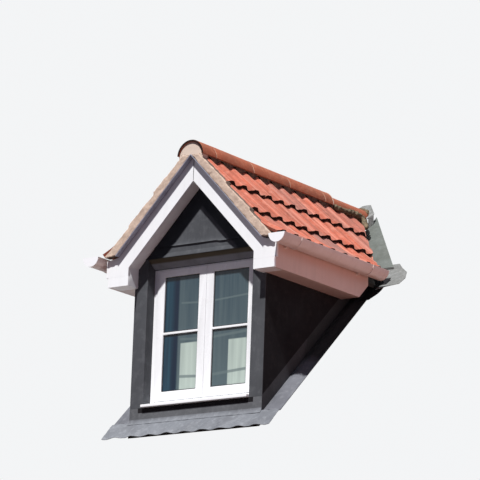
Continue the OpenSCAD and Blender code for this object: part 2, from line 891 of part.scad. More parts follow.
// Side flashings: an upstand on each cheek and a wing beside it.
module side_flashings() {
    color(apron_c)
        both_sides()
            union() {
                intersection() {
                    plan_block(0, far, lead_t, far);
                    on_main(-flash_len, -fit)
                        translate([stud_x, -lead_wave]) square([lead_t, upstand_h + lead_wave]);
                }
                on_main(-flash_len, -fit)
                    polygon(rolled_sheet(wall_x, flash_out_x, lead_roll, lead_wave, lead_phase, lead_t));
            }
}

// Outer window frame with its mullion, rebated for the casements.
module window_frame() {
    out_x = room_x - fit;
    top = head_z + lead_t - fit;
    pocket_x = sash_x + sash_gap;
    color(board_c)
        difference() {
            translate([-out_x, frame_y, frame_bottom])
                cube([2 * out_x, frame_d, top - frame_bottom]);
            translate([-pocket_x, 0, sash_bottom - sash_gap])
                cube([2 * pocket_x, sash_back, sash_top - sash_bottom + 2 * sash_gap]);
            both_sides()
                translate([mullion_w / 2, 0, sash_bottom + frame_w - frame_show])
                    cube([open_x - frame_w - mullion_w / 2, far,
                        sash_top - sash_bottom - 2 * (frame_w - frame_show)]);
        }
}

// Heights of the two panes of a casement, from bottom to top.
pane_z = [[sash_bottom + bottom_rail, bar_z - bar_h / 2], [bar_z + bar_h / 2, sash_top - top_rail]];

// A casement between two distances from the middle, with its glazing bar.
module casement(x0, x1) {
    color(board_c)
        difference() {
            translate([x0, sash_y, sash_bottom]) cube([x1 - x0, sash_d, sash_top - sash_bottom]);
            for (span = pane_z)
                translate([x0 + stile_w, 0, span[0]])
                    cube([x1 - x0 - 2 * stile_w, far, span[1] - span[0]]);
        }
}

// Glass of both casements.
module glazing() {
    pane_w = sash_x - sash_gap / 2 - 2 * stile_w;
    color(glass_c)
        both_sides()
            for (span = pane_z)
                translate([sash_gap / 2 + stile_w, sash_y + (sash_d - glass_t) / 2, span[0]])
                    cube([pane_w, glass_t, span[1] - span[0]]);
}

// White sill under the window, weathered to the front.
module window_sill() {
    color(board_c)
        along_x(-open_x, open_x)
            polygon([[-sill_nose, sill_z], [frame_y + frame_d, sill_z], [frame_y + frame_d, frame_bottom],
                [frame_y, frame_bottom], [-sill_nose, sill_z + sill_t]]);
}

base_curb();
front_wall();
mirror([1, 0, 0]) cheek_wall();  // cheek_wall_left
cheek_wall();  // cheek_wall_right
cheek_linings();
ceiling_lining();
roof_deck();
rafters();
battens();
mirror([1, 0, 0]) tile_course(0);  // tiles_left_top
mirror([1, 0, 0]) tile_course(1);  // tiles_left_middle
mirror([1, 0, 0]) tile_course(2);  // tiles_left_eaves
tile_course(0);  // tiles_right_top
tile_course(1);  // tiles_right_middle
tile_course(2);  // tiles_right_eaves
ridge_tiles();
ridge_mortar();
verge_mortar();
undercloak();
mirror([1, 0, 0]) barge_board();  // barge_board_left
barge_board();  // barge_board_right
box_ends();
gable_soffit();
eaves_soffits();
fascias();
mirror([1, 0, 0]) gutter();  // gutter_left
gutter();  // gutter_right
gutter_brackets();
valleys();
valley_saddles();
valley_feet();
gable_lead_upper();
gable_lead_lower();
head_flashing();
mirror([1, 0, 0]) front_lead();  // front_lead_left
front_lead();  // front_lead_right
mirror([1, 0, 0]) cheek_lead();  // cheek_lead_left
cheek_lead();  // cheek_lead_right
apron_lead();
side_flashings();
window_frame();
casement(-sash_x, -sash_gap / 2);  // casement_left
casement(sash_gap / 2, sash_x);  // casement_right
glazing();
window_sill();
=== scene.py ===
"""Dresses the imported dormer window: finishes, light, camera and the finer pieces."""

import logging
import math
import random
from dataclasses import dataclass, replace
from enum import Enum
from typing import Optional, Sequence, Union

import bmesh
import bpy
from mathutils import Matrix, Vector, noise

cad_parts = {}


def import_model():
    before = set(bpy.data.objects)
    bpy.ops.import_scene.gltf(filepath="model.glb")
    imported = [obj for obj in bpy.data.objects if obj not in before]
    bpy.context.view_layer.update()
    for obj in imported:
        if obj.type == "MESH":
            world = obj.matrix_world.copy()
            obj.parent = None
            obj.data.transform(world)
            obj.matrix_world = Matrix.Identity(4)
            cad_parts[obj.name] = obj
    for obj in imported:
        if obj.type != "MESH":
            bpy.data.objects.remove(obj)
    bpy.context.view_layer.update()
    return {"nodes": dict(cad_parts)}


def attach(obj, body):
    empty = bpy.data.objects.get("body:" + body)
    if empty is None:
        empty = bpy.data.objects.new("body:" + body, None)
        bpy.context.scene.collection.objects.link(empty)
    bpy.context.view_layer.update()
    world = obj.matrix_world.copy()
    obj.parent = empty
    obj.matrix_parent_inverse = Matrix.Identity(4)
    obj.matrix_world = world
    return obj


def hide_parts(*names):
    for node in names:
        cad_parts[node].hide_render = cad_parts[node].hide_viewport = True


Colour = tuple[float, float, float]
Mesh = bmesh.types.BMesh
Socket = bpy.types.NodeSocket
Value = Union[Socket, float, Sequence[float]]

SLOPE_PITCH = math.radians(43.6)
ROOF_PITCH = math.radians(46.0)
SOFFIT_PITCH = math.radians(46.4)
GABLE_APEX_Z = 1.764
RIDGE_Z = 1.930
ROLL = 0.150
HAIR = 0.00001

log = logging.getLogger("dormer")


class Tree:
    """A node tree with short ways to add nodes, which lays its patterns by one place."""

    def __init__(self, tree: bpy.types.NodeTree) -> None:
        """Takes over a node tree and empties it.

        Args:
            tree: the tree of a material, a world or a group.
        """
        self.tree = tree
        self.tree.nodes.clear()
        self.place: Optional[Socket] = None

    def node(self, kind: str, inputs: Optional[dict[Union[str, int], Value]] = None,
             **settings: object) -> bpy.types.Node:
        """Adds a node and fills its inputs.

        Args:
            kind: the node's type name.
            inputs: values or sockets by input name or place.
            settings: the node's own options.

        Returns:
            The new node.
        """
        made = self.tree.nodes.new(kind)
        for name, option in settings.items():
            setattr(made, name, option)
        for key, value in (inputs or {}).items():
            self.feed(made.inputs[key], value)
        return made

    def feed(self, socket: Socket, value: Value) -> None:
        """Joins a socket to another one, or sets it to a constant.

        Args:
            socket: the input to fill.
            value: a socket, a number, or a colour or vector.
        """
        if isinstance(value, bpy.types.NodeSocket):
            self.tree.links.new(value, socket)
        elif socket.type == "RGBA" and len(value) == 3:
            socket.default_value = (*value, 1.0)
        else:
            socket.default_value = value

    def group(self, group: bpy.types.NodeTree, **inputs: Value) -> dict[str, Socket]:
        """Adds a shared group and returns its outputs by name."""
        made = self.node("ShaderNodeGroup", {"Vector": self.place, **inputs}, node_tree=group)
        return {socket.name: socket for socket in made.outputs}

    def noise(self, scale: Value, detail: float = 3.0, rough: float = 0.5,
              stretch: Sequence[float] = ()) -> Socket:
        """Lays soft noise by the place.

        Args:
            scale: its scale in cycles a metre.
            detail: how many finer layers it has.
            rough: how strongly the finer layers show.
            stretch: the factor on each axis of the place, or nothing.

        Returns:
            The noise, from 0 to 1.
        """
        place = self.place
        if stretch:
            place = self.node("ShaderNodeMapping", {"Vector": place, "Scale": stretch}).outputs[0]
        inputs = {"Vector": place, "Scale": scale, "Detail": detail, "Roughness": rough}
        return self.node("ShaderNodeTexNoise", inputs).outputs[0]

    def sums(self, operation: str, first: Value, second: Value = 0.0) -> Socket:
        """Returns the result of a sum on one or two values."""
        return self.node("ShaderNodeMath", {0: first, 1: second}, operation=operation).outputs[0]

    def times(self, first: Value, second: Value) -> Socket:
        """Returns one value times another."""
        return self.sums("MULTIPLY", first, second)

    def fit(self, value: Value, low: float, high: float,
            out_low: float = 0.0, out_high: float = 1.0) -> Socket:
        """Returns a value fitted from one range to another, held at both ends."""
        inputs = {"Value": value, "From Min": low, "From Max": high, "To Min": out_low, "To Max": out_high}
        return self.node("ShaderNodeMapRange", inputs).outputs[0]

    def blend(self, share: Value, first: Value, second: Value) -> Socket:
        """Returns two colours mixed by a share."""
        return self.node("ShaderNodeMix", {0: share, 6: first, 7: second}, data_type="RGBA").outputs[2]

    def axes(self) -> dict[str, Socket]:
        """Returns the X, Y and Z of the place."""
        parts = self.node("ShaderNodeSeparateXYZ", {0: self.place}).outputs
        return {axis: parts[axis] for axis in "XYZ"}

    def wandering(self, value: Socket, scale: float, reach: float) -> Socket:
        """Returns a value that soft noise moves up and down."""
        drift = self.sums("SUBTRACT", self.noise(scale), 0.5)
        return self.sums("ADD", value, self.times(drift, reach))

    def band(self, value: Socket, middle: float, half: float, soft: float) -> Socket:
        """Returns a mask that is 1 within a band round a middle, with soft edges."""
        away = self.sums("ABSOLUTE", self.sums("SUBTRACT", value, middle))
        return self.fit(away, half + soft, half - soft)

    def shown(self) -> Socket:
        """Tells a straight look at a surface from light that falls on it.

        Returns:
            A mask that is 1 where the camera, a mirror or glass looks.
        """
        path = self.node("ShaderNodeLightPath").outputs
        through = self.sums("MAXIMUM", path["Is Glossy Ray"], path["Is Transmission Ray"])
        return self.sums("MAXIMUM", path["Is Camera Ray"], through)


def blank_material(name: str) -> tuple[bpy.types.Material, Tree]:
    """Starts a material.

    Args:
        name: its name.

    Returns:
        The material and its emptied tree, with the object coordinates as its place.
    """
    made = bpy.data.materials.new(name)
    made.use_nodes = True
    tree = Tree(made.node_tree)
    tree.place = tree.node("ShaderNodeTexCoord").outputs["Object"]
    return made, tree


class Groups:
    """Node groups that several finishes share, each made once."""

    def __init__(self) -> None:
        """Makes the groups."""
        self.patches = self._patches()
        self.streaks = self._streaks()
        self.grit = self._grit()

    @staticmethod
    def _start(name: str, inputs: dict[str, str],
               outputs: dict[str, str]) -> tuple[Tree, dict[str, Socket], dict[str, Socket]]:
        """Starts a group with its sockets, whose place is its vector.

        Args:
            name: the group's name.
            inputs: socket types by name, apart from the vector's.
            outputs: socket types by name.

        Returns:
            The tree, what it is given and what it gives, each by name.
        """
        group = bpy.data.node_groups.new(name, "ShaderNodeTree")
        group.interface.new_socket("Vector", in_out="INPUT", socket_type="NodeSocketVector")
        for label, kind in inputs.items():
            group.interface.new_socket(label, in_out="INPUT", socket_type=kind)
        for label, kind in outputs.items():
            group.interface.new_socket(label, in_out="OUTPUT", socket_type=kind)
        tree = Tree(group)
        given, made = tree.node("NodeGroupInput").outputs, tree.node("NodeGroupOutput").inputs
        tree.place = given["Vector"]
        return tree, {label: given[label] for label in inputs}, {label: made[label] for label in outputs}

    def _patches(self) -> bpy.types.NodeTree:
        """Makes the dark and pale patches of weather.

        Returns:
            A group that turns a colour into a weathered one.
        """
        colours = dict.fromkeys(("Colour", "Dark", "Pale"), "NodeSocketColor")
        numbers = dict.fromkeys(("Scale", "Amount"), "NodeSocketFloat")
        tree, given, made = self._start(
            "Weathered patches", {**colours, **numbers}, {"Colour": "NodeSocketColor"})
        broad = tree.noise(given["Scale"], 4.0, 0.6)
        finer = tree.noise(tree.times(given["Scale"], 4.7), 3.0, 0.6)
        darks = tree.times(tree.fit(broad, 0.42, 0.72), given["Amount"])
        pales = tree.times(tree.fit(finer, 0.5, 0.78), given["Amount"])
        darker = tree.blend(darks, given["Colour"], given["Dark"])
        tree.feed(made["Colour"], tree.blend(pales, darker, given["Pale"]))
        return tree.tree

    def _streaks(self) -> bpy.types.NodeTree:
        """Makes the run marks down an upright face.

        Returns:
            A group that gives their mask.
        """
        tree, given, made = self._start(
            "Run marks", {"Scale": "NodeSocketFloat"}, {"Mask": "NodeSocketFloat"})
        marks = tree.fit(tree.noise(given["Scale"], 4.0, 0.62, (1.0, 1.0, 0.09)), 0.5, 0.7)
        fades = tree.fit(tree.noise(2.3, 2.0), 0.3, 0.65, 0.25, 1.0)
        tree.feed(made["Mask"], tree.times(marks, fades))
        return tree.tree

    def _grit(self) -> bpy.types.NodeTree:
        """Makes the fine grit of a rough skin.

        Returns:
            A group that gives its height and its specks.
        """
        tree, given, made = self._start(
            "Grit", {"Scale": "NodeSocketFloat"}, dict.fromkeys(("Height", "Specks"), "NodeSocketFloat"))
        fine = tree.noise(given["Scale"], 5.0, 0.7)
        broad = tree.noise(tree.times(given["Scale"], 0.13), 2.0)
        tree.feed(made["Height"], tree.sums("ADD", fine, tree.times(broad, 1.6)))
        tree.feed(made["Specks"], tree.fit(fine, 0.64, 0.7))
        return tree.tree


class Measure(Enum):
    """What the limits of a zone are measured along."""

    BACK = "distance back from the front lead face"
    SHELTER = "depth under the soffit of the gable"


@dataclass(frozen=True)
class Zone:
    """A stretch of a surface with its own colour, such as painted shade along an edge or a clean end."""

    colour: Colour
    start: float
    full: float
    share: float = 1.0
    wander_scale: float = 0.0
    wander: float = 0.0
    measure: Measure = Measure.BACK

    def lay(self, tree: Tree, under: Socket) -> Socket:
        """Lays the zone over a colour.

        Args:
            tree: the material's tree.
            under: the colour so far.

        Returns:
            The zoned colour.
        """
        along = self._along(tree)
        if self.wander > 0.0:
            along = tree.wandering(along, self.wander_scale, self.wander)
        mask = tree.fit(along, self.start, self.full)
        return tree.blend(tree.times(mask, self.share), under, self.colour)

    def _along(self, tree: Tree) -> Socket:
        """Measures along the zone.

        Args:
            tree: the material's tree.

        Returns:
            The distance in which the zone's limits are given.
        """
        at = tree.axes()
        if self.measure is Measure.BACK:
            return at["Y"]
        fallen = tree.times(tree.sums("ABSOLUTE", at["X"]), math.tan(SOFFIT_PITCH))
        return tree.sums("SUBTRACT", GABLE_APEX_Z, tree.sums("ADD", at["Z"], fallen))


@dataclass(frozen=True)
class Finish:
    """A weathered finish: a main colour with dark and pale patches, run marks and a rough skin."""

    name: str
    colour: Colour
    dark: Colour
    pale: Colour
    patch_scale: float = 3.0
    amount: float = 0.6
    streak_scale: float = 18.0
    streak: float = 0.0
    roughness: tuple[float, float] = (0.5, 0.8)
    grit_scale: float = 220.0
    grit_range: tuple[float, float] = (0.9, 1.6)
    bump: float = 0.2
    bump_depth: float = 0.002
    speckle: float = 0.0
    shine: float = 0.5
    zones: tuple[Zone, ...] = ()

    def material(self, groups: Groups) -> bpy.types.Material:
        """Makes the material of this finish.

        Args:
            groups: the shared node groups.

        Returns:
            The material.
        """
        made, tree = blank_material(self.name)
        patches = tree.group(groups.patches, Colour=self.colour, Dark=self.dark, Pale=self.pale,
                             Scale=self.patch_scale, Amount=self.amount)
        grit = tree.group(groups.grit, Scale=self.grit_scale)
        runs = tree.group(groups.streaks, Scale=self.streak_scale)
        streaked = tree.blend(tree.times(runs["Mask"], self.streak), patches["Colour"], self.dark)
        specked = tree.blend(tree.times(grit["Specks"], self.speckle), streaked, self.pale)
        raised = tree.node("ShaderNodeBump", {
            "Height": grit["Height"], "Strength": self.bump, "Distance": self.bump_depth})
        surface = tree.node("ShaderNodeBsdfPrincipled", {
            "Base Color": self._varied(tree, specked),
            "Roughness": tree.fit(grit["Height"], *self.grit_range, *self.roughness),
            "Specular IOR Level": self.shine, "Normal": raised.outputs[0]})
        tree.node("ShaderNodeOutputMaterial", {"Surface": surface.outputs[0]})
        return made

    def _varied(self, tree: Tree, colour: Socket) -> Socket:
        """Lays the finish's zones over its colour.

        Args:
            tree: the material's tree.
            colour: the colour so far.

        Returns:
            The colour by place.
        """
        for zone in self.zones:
            colour = zone.lay(tree, colour)
        return colour


@dataclass(frozen=True)
class FiredClay(Finish):
    """Tile clay, which differs from tile to tile and along each roll, with painted shade in the hollows."""

    grey: Colour = (0.20, 0.15, 0.14)
    by_tile: float = 0.8
    hollow_shade: float = 0.5
    line_stretch: tuple[float, float, float] = (1.2, 42.0, 1.2)
    score_stretch: tuple[float, float, float] = (1.6, 75.0, 1.6)

    def _varied(self, tree: Tree, colour: Socket) -> Socket:
        """Draws pale lines and dark scores along the rolls, partly clay streaks and partly painted rib
        shading, then paints shade in the hollows and greys odd tiles.

        Args:
            tree: the material's tree.
            colour: the colour so far.

        Returns:
            The fired colour.
        """
        lines = tree.noise(1.0, 3.0, 0.6, self.line_stretch)
        lined = tree.blend(tree.fit(lines, 0.48, 0.66, 0.0, 0.7), colour, self.pale)
        scores = tree.noise(1.0, 2.0, 0.6, self.score_stretch)
        scored = tree.blend(tree.fit(scores, 0.52, 0.7, 0.0, 0.6), lined, self.dark)
        # Painted shade: the hollows of the rolls are darkened by their depth.
        sunk = tree.blend(tree.times(self._attribute(tree, "hollow"), self.hollow_shade), scored, self.dark)
        return tree.blend(tree.times(self._attribute(tree, "tint"), self.by_tile), sunk, self.grey)

    @staticmethod
    def _attribute(tree: Tree, name: str) -> Socket:
        """Returns a value that the tiles carry at their corners."""
        made = tree.node("ShaderNodeAttribute", attribute_name=name, attribute_type="GEOMETRY")
        return made.outputs["Fac"]


@dataclass(frozen=True)
class RidgeBedding(Finish):
    """Ridge mortar: pale in the joints, with painted shade in the bed under the ridge, mossy behind, and
    cracked in the front plug.
    """

    bed_shade: Colour = (0.035, 0.018, 0.014)
    moss: Colour = (0.20, 0.15, 0.075)
    plug: Colour = (0.66, 0.55, 0.47)
    crack: Colour = (0.16, 0.10, 0.075)
    bed_z: float = 1.9345
    front_y: float = -0.098
    moss_y: float = 1.45
    moss_run: float = 0.15

    def _varied(self, tree: Tree, colour: Socket) -> Socket:
        """Paints shade on the bed under the ridge, greens the back end and pales the front plug.

        Args:
            tree: the material's tree.
            colour: the colour so far.

        Returns:
            The colour by place.
        """
        at = tree.axes()
        # Painted shade: the bed low under the ridge tiles, behind the front plug, is darkened.
        uneven = tree.sums("ADD", at["Z"], tree.times(tree.noise(30.0), 0.004))
        low = tree.fit(uneven, self.bed_z + 0.003, self.bed_z + 0.001)
        behind = tree.fit(at["Y"], self.front_y - 0.004, self.front_y + 0.004)
        patches = tree.fit(tree.noise(26.0), 0.3, 0.7, 0.75, 1.0)
        bed = tree.blend(tree.times(tree.times(low, behind), patches), colour, self.bed_shade)
        back = tree.fit(at["Y"], self.moss_y, self.moss_y + self.moss_run)
        green = tree.times(back, tree.fit(tree.noise(22.0), 0.35, 0.6))
        mossy = tree.blend(tree.times(green, 0.7), bed, self.moss)
        in_front = tree.fit(at["Y"], self.front_y - 0.003, self.front_y - 0.004, 0.0, 0.8)
        return tree.blend(in_front, mossy, self._plugged(tree))

    def _plugged(self, tree: Tree) -> Socket:
        """Returns the colour of the front plug with its fine cracks."""
        cracks = tree.sums("ABSOLUTE", tree.sums("SUBTRACT", tree.noise(11.0, 4.0, 0.6), 0.5))
        return tree.blend(tree.fit(cracks, 0.008, 0.003, 0.0, 0.7), self.plug, self.crack)


@dataclass(frozen=True)
class WingLead(Finish):
    """Flashing lead: pale at its low front end, with near-black painted shade higher up and on the upstand.
    """

    wing_shade: Colour = (0.014, 0.013, 0.014)
    wing_shade_y: tuple[float, float] = (0.40, 0.52)
    wing_shade_share: float = 0.9
    upstand_x: float = 0.5675
    upstand_share: float = 0.75

    def _varied(self, tree: Tree, colour: Socket) -> Socket:
        """Paints shade on the upstand and the back part of the wing.

        Args:
            tree: the material's tree.
            colour: the colour so far.

        Returns:
            The colour by place.
        """
        at = tree.axes()
        # Painted shade of the cheek and eaves over the back of the wing and on the upstand.
        behind = tree.fit(tree.wandering(at["Y"], 9.0, 0.12), *self.wing_shade_y)
        stands = tree.fit(tree.sums("ABSOLUTE", at["X"]), self.upstand_x + 0.001, self.upstand_x)
        shares = tree.times(behind, self.wing_shade_share), tree.times(stands, self.upstand_share)
        return tree.blend(tree.sums("MAXIMUM", *shares), colour, self.wing_shade)


CLAY = FiredClay("Clay tile", (0.53, 0.13, 0.075), (0.22, 0.075, 0.05), (0.70, 0.30, 0.22), 6.0, 0.7,
                 roughness=(0.65, 0.9), grit_scale=260.0, bump=0.35, speckle=0.25, shine=0.3)
# Near-black painted shade on the tile tails and the ridge's front end, for the shadow and gap under them.
SHADED_TILE_EDGE = Finish("Tile edge", (0.022, 0.010, 0.008), (0.008, 0.005, 0.004), (0.06, 0.025, 0.018), 12.0, 0.5,
                   roughness=(0.85, 0.98), bump=0.3, shine=0.1)
RIDGE_CLAY = Finish("Ridge clay", (0.36, 0.10, 0.05), (0.19, 0.07, 0.04), (0.47, 0.20, 0.115), 6.0, 0.6,
                    roughness=(0.6, 0.85), grit_scale=260.0, bump=0.35, shine=0.3)
MORTAR = Finish("Mortar", (0.62, 0.47, 0.38), (0.42, 0.30, 0.23), (0.78, 0.68, 0.60), 9.0, 0.6,
                roughness=(0.8, 0.95), grit_scale=180.0, bump=0.5, bump_depth=0.003, speckle=0.2)
# Its zone paints shade: a dark line along the mortar's inner top edge, for the gap to the tiles.
VERGE_BED = Finish("Verge mortar", (0.57, 0.43, 0.34), (0.30, 0.20, 0.15), (0.72, 0.60, 0.51), 17.0, 0.6,
                   roughness=(0.8, 0.95), grit_scale=150.0, bump=0.7, bump_depth=0.005, speckle=0.3,
                   zones=(Zone((0.05, 0.03, 0.022), -0.1575, -0.1555, 0.85, 14.0, 0.008),))
RIDGE_BED = RidgeBedding("Ridge mortar", (0.60, 0.40, 0.28), (0.36, 0.23, 0.16), (0.74, 0.6, 0.48), 9.0, 0.6,
                         roughness=(0.8, 0.95), grit_scale=180.0, bump=0.5, bump_depth=0.003, speckle=0.2)
MOSS = Finish("Mossy mortar", (0.16, 0.12, 0.075), (0.05, 0.042, 0.026), (0.36, 0.30, 0.22), 26.0, 0.85,
              roughness=(0.85, 0.98), grit_scale=180.0, bump=0.6, bump_depth=0.004, speckle=0.35, shine=0.15)
# A bluish grey that paints the shade of a white board on the undercloak.
CLOAK_SHADE = Finish("Undercloak", (0.33, 0.34, 0.42), (0.17, 0.17, 0.21), (0.47, 0.48, 0.56), 8.0, 0.5,
               roughness=(0.7, 0.9), shine=0.1)
BOARD = Finish("White board", (0.84, 0.85, 0.87), (0.58, 0.56, 0.55), (0.87, 0.87, 0.89), 2.0, 0.25,
               streak=0.2, roughness=(0.3, 0.45), grit_scale=60.0, bump=0.05)
# White board painted warm with the light that the red roof throws on the shaded eaves.
EAVES_BOARD_ROOF_GLOW = Finish("Eaves board", (0.70, 0.52, 0.47), (0.48, 0.35, 0.30), (0.78, 0.62, 0.57), 2.0, 0.25,
                     streak=0.3, roughness=(0.3, 0.45), grit_scale=60.0, bump=0.05)
SASH = Finish("White sash", (0.85, 0.86, 0.88), (0.62, 0.60, 0.58), (0.88, 0.88, 0.9), 2.5, 0.2,
              streak=0.12, roughness=(0.22, 0.35), grit_scale=60.0, bump=0.03)
# A white gutter painted warm with light reflected from the red roof; its zone keeps the front stop end white.
GUTTER_ROOF_GLOW = Finish("White gutter painted roof glow", (0.80, 0.67, 0.62), (0.55, 0.40, 0.33), (0.85, 0.76, 0.72), 3.0, 0.3,
                streak=0.35, roughness=(0.3, 0.45), grit_scale=60.0, bump=0.04,
                zones=(Zone((0.84, 0.84, 0.86), -0.2195, -0.2205),))
LINING = Finish("Painted lining", (0.72, 0.70, 0.66), (0.55, 0.53, 0.5), (0.8, 0.78, 0.75), 2.0, 0.3,
                roughness=(0.6, 0.75), bump=0.05)
LEAD = Finish("Dark lead", (0.078, 0.082, 0.09), (0.04, 0.041, 0.047), (0.14, 0.145, 0.155), 3.0, 0.55,
              streak=0.35, roughness=(0.5, 0.72), grit_scale=60.0, shine=0.05)
# Its zone paints shade: near black in the band under the gable's soffits, where the barge boards' shadow
# falls.
GABLE_LEAD = replace(LEAD, name="Gable lead", zones=(
    Zone((0.012, 0.014, 0.019), 0.177, 0.153, 0.85, 12.0, 0.02, Measure.SHELTER),))
# A near-black copy of lead that paints shade on the cheeks, on the strip under the sill and on the foot
# soakers.
SHADE_LEAD = Finish("Cheek lead", (0.018, 0.017, 0.019), (0.008, 0.008, 0.009), (0.035, 0.033, 0.034),
                    3.0, 0.5, streak=0.3, roughness=(0.6, 0.8), grit_scale=60.0, shine=0.03)
UPSTAND_LEAD = Finish("Upstand lead", (0.108, 0.112, 0.121), (0.06, 0.062, 0.068), (0.17, 0.175, 0.185),
                      5.0, 0.6, streak=0.3, roughness=(0.5, 0.7), grit_scale=60.0, shine=0.2)
APRON_LEAD = Finish("Apron lead", (0.155, 0.165, 0.185), (0.085, 0.088, 0.10), (0.27, 0.285, 0.31), 5.0, 0.6,
                    streak=0.2, roughness=(0.45, 0.65), grit_scale=60.0, shine=0.45)
WING_LEAD = WingLead("Wing lead", (0.14, 0.145, 0.165), (0.07, 0.072, 0.082), (0.23, 0.235, 0.255), 4.0, 0.6,
                     streak=0.2, roughness=(0.5, 0.7), grit_scale=60.0, shine=0.15)
# Painted light and shade on the head soffit: grey brightened by light from the window below, a brown band of
# shade at the front and a black shadow line at the back.
HEAD_LEAD_LIGHT_AND_SHADE = Finish("Head lead", (0.22, 0.235, 0.26), (0.012, 0.012, 0.013), (0.22, 0.225, 0.24), 5.0, 0.4,
                   roughness=(0.6, 0.8), grit_scale=60.0, shine=0.1,
                   zones=(Zone((0.075, 0.062, 0.042), 0.038, 0.026),
                          Zone((0.012, 0.012, 0.013), 0.078, 0.080)))
PALE_LEAD = Finish("Pale lead", (0.165, 0.17, 0.165), (0.07, 0.068, 0.06), (0.31, 0.315, 0.31), 7.0, 0.7,
                   streak=0.2, roughness=(0.5, 0.7), grit_scale=45.0, bump=0.6, bump_depth=0.006, shine=0.4)
# Its zone paints a black shadow line at the valley's lower end, over the foot.
VALLEY = Finish("Valley sheet", (0.105, 0.118, 0.108), (0.05, 0.052, 0.038), (0.16, 0.172, 0.16), 6.0, 0.6,
                streak=0.3, roughness=(0.55, 0.75), grit_scale=120.0, bump=0.25,
                zones=(Zone((0.012, 0.011, 0.009), 1.4428, 1.4388, 1.0, 30.0, 0.01),))
FELT = Finish("Eaves felt", (0.012, 0.011, 0.011), (0.006, 0.006, 0.006), (0.025, 0.023, 0.022), 9.0, 0.5,
              roughness=(0.8, 0.95), shine=0.1)
SEAL = Finish("Pane seal", (0.015, 0.015, 0.017), (0.01, 0.01, 0.01), (0.03, 0.03, 0.032), 8.0, 0.5,
              roughness=(0.5, 0.7))
TIMBER = Finish("Sawn timber", (0.52, 0.36, 0.2), (0.36, 0.23, 0.12), (0.62, 0.46, 0.29), 5.0, 0.6,
                streak=0.3, roughness=(0.65, 0.85), grit_scale=150.0, bump=0.25)
# Near-black timber that paints shade on the curb under the apron and on the deck's end.
SHADE_TIMBER = Finish("Timber painted shade", (0.035, 0.03, 0.026), (0.015, 0.013, 0.012), (0.07, 0.06, 0.05),
                     5.0, 0.6, streak=0.3, roughness=(0.7, 0.9), grit_scale=150.0, bump=0.25, shine=0.2)


@dataclass(frozen=True)
class Glass:
    """The window glass, whose colour paints the reflections and the room behind: slate above, teal at the
    left, with a pale reflected patch low on each pane.
    """

    name: str = "Window glass"
    slate: Colour = (0.035, 0.062, 0.082)
    teal: Colour = (0.014, 0.055, 0.085)
    navy: Colour = (0.004, 0.013, 0.032)
    pale: Colour = (0.44, 0.52, 0.47)
    line: Colour = (0.11, 0.15, 0.155)
    roughness: float = 0.05
    shine: float = 0.3
    bend: float = 1.5
    teal_x: tuple[float, float] = (-0.246, -0.232)
    navy_band: tuple[float, float, float] = (-0.262, 0.028, 0.02)
    misty_z: tuple[float, float] = (1.1, 0.5)
    patches: tuple[tuple[float, float], ...] = ((-0.214, 0.655), (0.200, 0.645))
    patch_half: float = 0.0825
    patch_soft: float = 0.004
    marks: tuple[tuple[float, float], ...] = ((0.932, 0.006), (0.672, 0.009), (0.405, 0.010))
    mark_x: tuple[float, float] = (-0.225, -0.215)
    mark_fall: float = 0.06
    mark_soft: float = 0.003
    mark_share: float = 0.75

    def material(self, _groups: Groups) -> bpy.types.Material:
        """Makes the material of the glass.

        Args:
            _groups: the shared node groups, which glass has no use for.

        Returns:
            The material.
        """
        made, tree = blank_material(self.name)
        wave = tree.node("ShaderNodeBump", {
            "Height": tree.noise(3.0, 1.0), "Strength": 0.05, "Distance": 0.01})
        surface = tree.node("ShaderNodeBsdfPrincipled", {
            "Base Color": self._colour(tree), "Roughness": self.roughness, "Transmission Weight": 0.0,
            "IOR": self.bend, "Specular IOR Level": self.shine, "Normal": wave.outputs[0]})
        tree.node("ShaderNodeOutputMaterial", {"Surface": surface.outputs[0]})
        return made

    def _colour(self, tree: Tree) -> Socket:
        """Paints what the panes show: reflections and the room behind them.

        Args:
            tree: the material's tree.

        Returns:
            The colour by place.
        """
        at = tree.axes()
        folds = tree.noise(30.0, 2.0, 0.5, (1.0, 1.0, 0.05))
        grey = tree.blend(tree.fit(folds, 0.35, 0.65, 0.0, 0.35), self.slate, self.line)
        grey = tree.blend(tree.fit(at["Z"], *self.misty_z, 0.0, 0.45), grey, self.line)
        blue = tree.blend(tree.fit(folds, 0.3, 0.7, 0.0, 0.8), self.teal, self.navy)
        blue = tree.blend(tree.band(at["X"], *self.navy_band), blue, self.navy)
        colour = tree.blend(tree.fit(at["X"], *self.teal_x), blue, grey)
        soft = tree.blend(tree.fit(folds, 0.3, 0.7, 0.0, 0.3), self.pale, self.line)
        # Pale painted reflection patches low on each pane.
        for edge, top in self.patches:
            beside = tree.band(at["X"], edge + self.patch_half, self.patch_half, self.patch_soft)
            under = tree.fit(at["Z"], top + self.patch_soft, top - self.patch_soft)
            colour = tree.blend(tree.times(beside, under), colour, soft)
        sloped = tree.sums("SUBTRACT", at["Z"], tree.times(tree.sums("ABSOLUTE", at["X"]), self.mark_fall))
        share = tree.times(tree.fit(at["X"], *self.mark_x), self.mark_share)
        for height, half in self.marks:
            mark = tree.band(sloped, height, half, self.mark_soft)
            colour = tree.blend(tree.times(mark, share), colour, self.line)
        return colour


Look = Union[Finish, Glass]


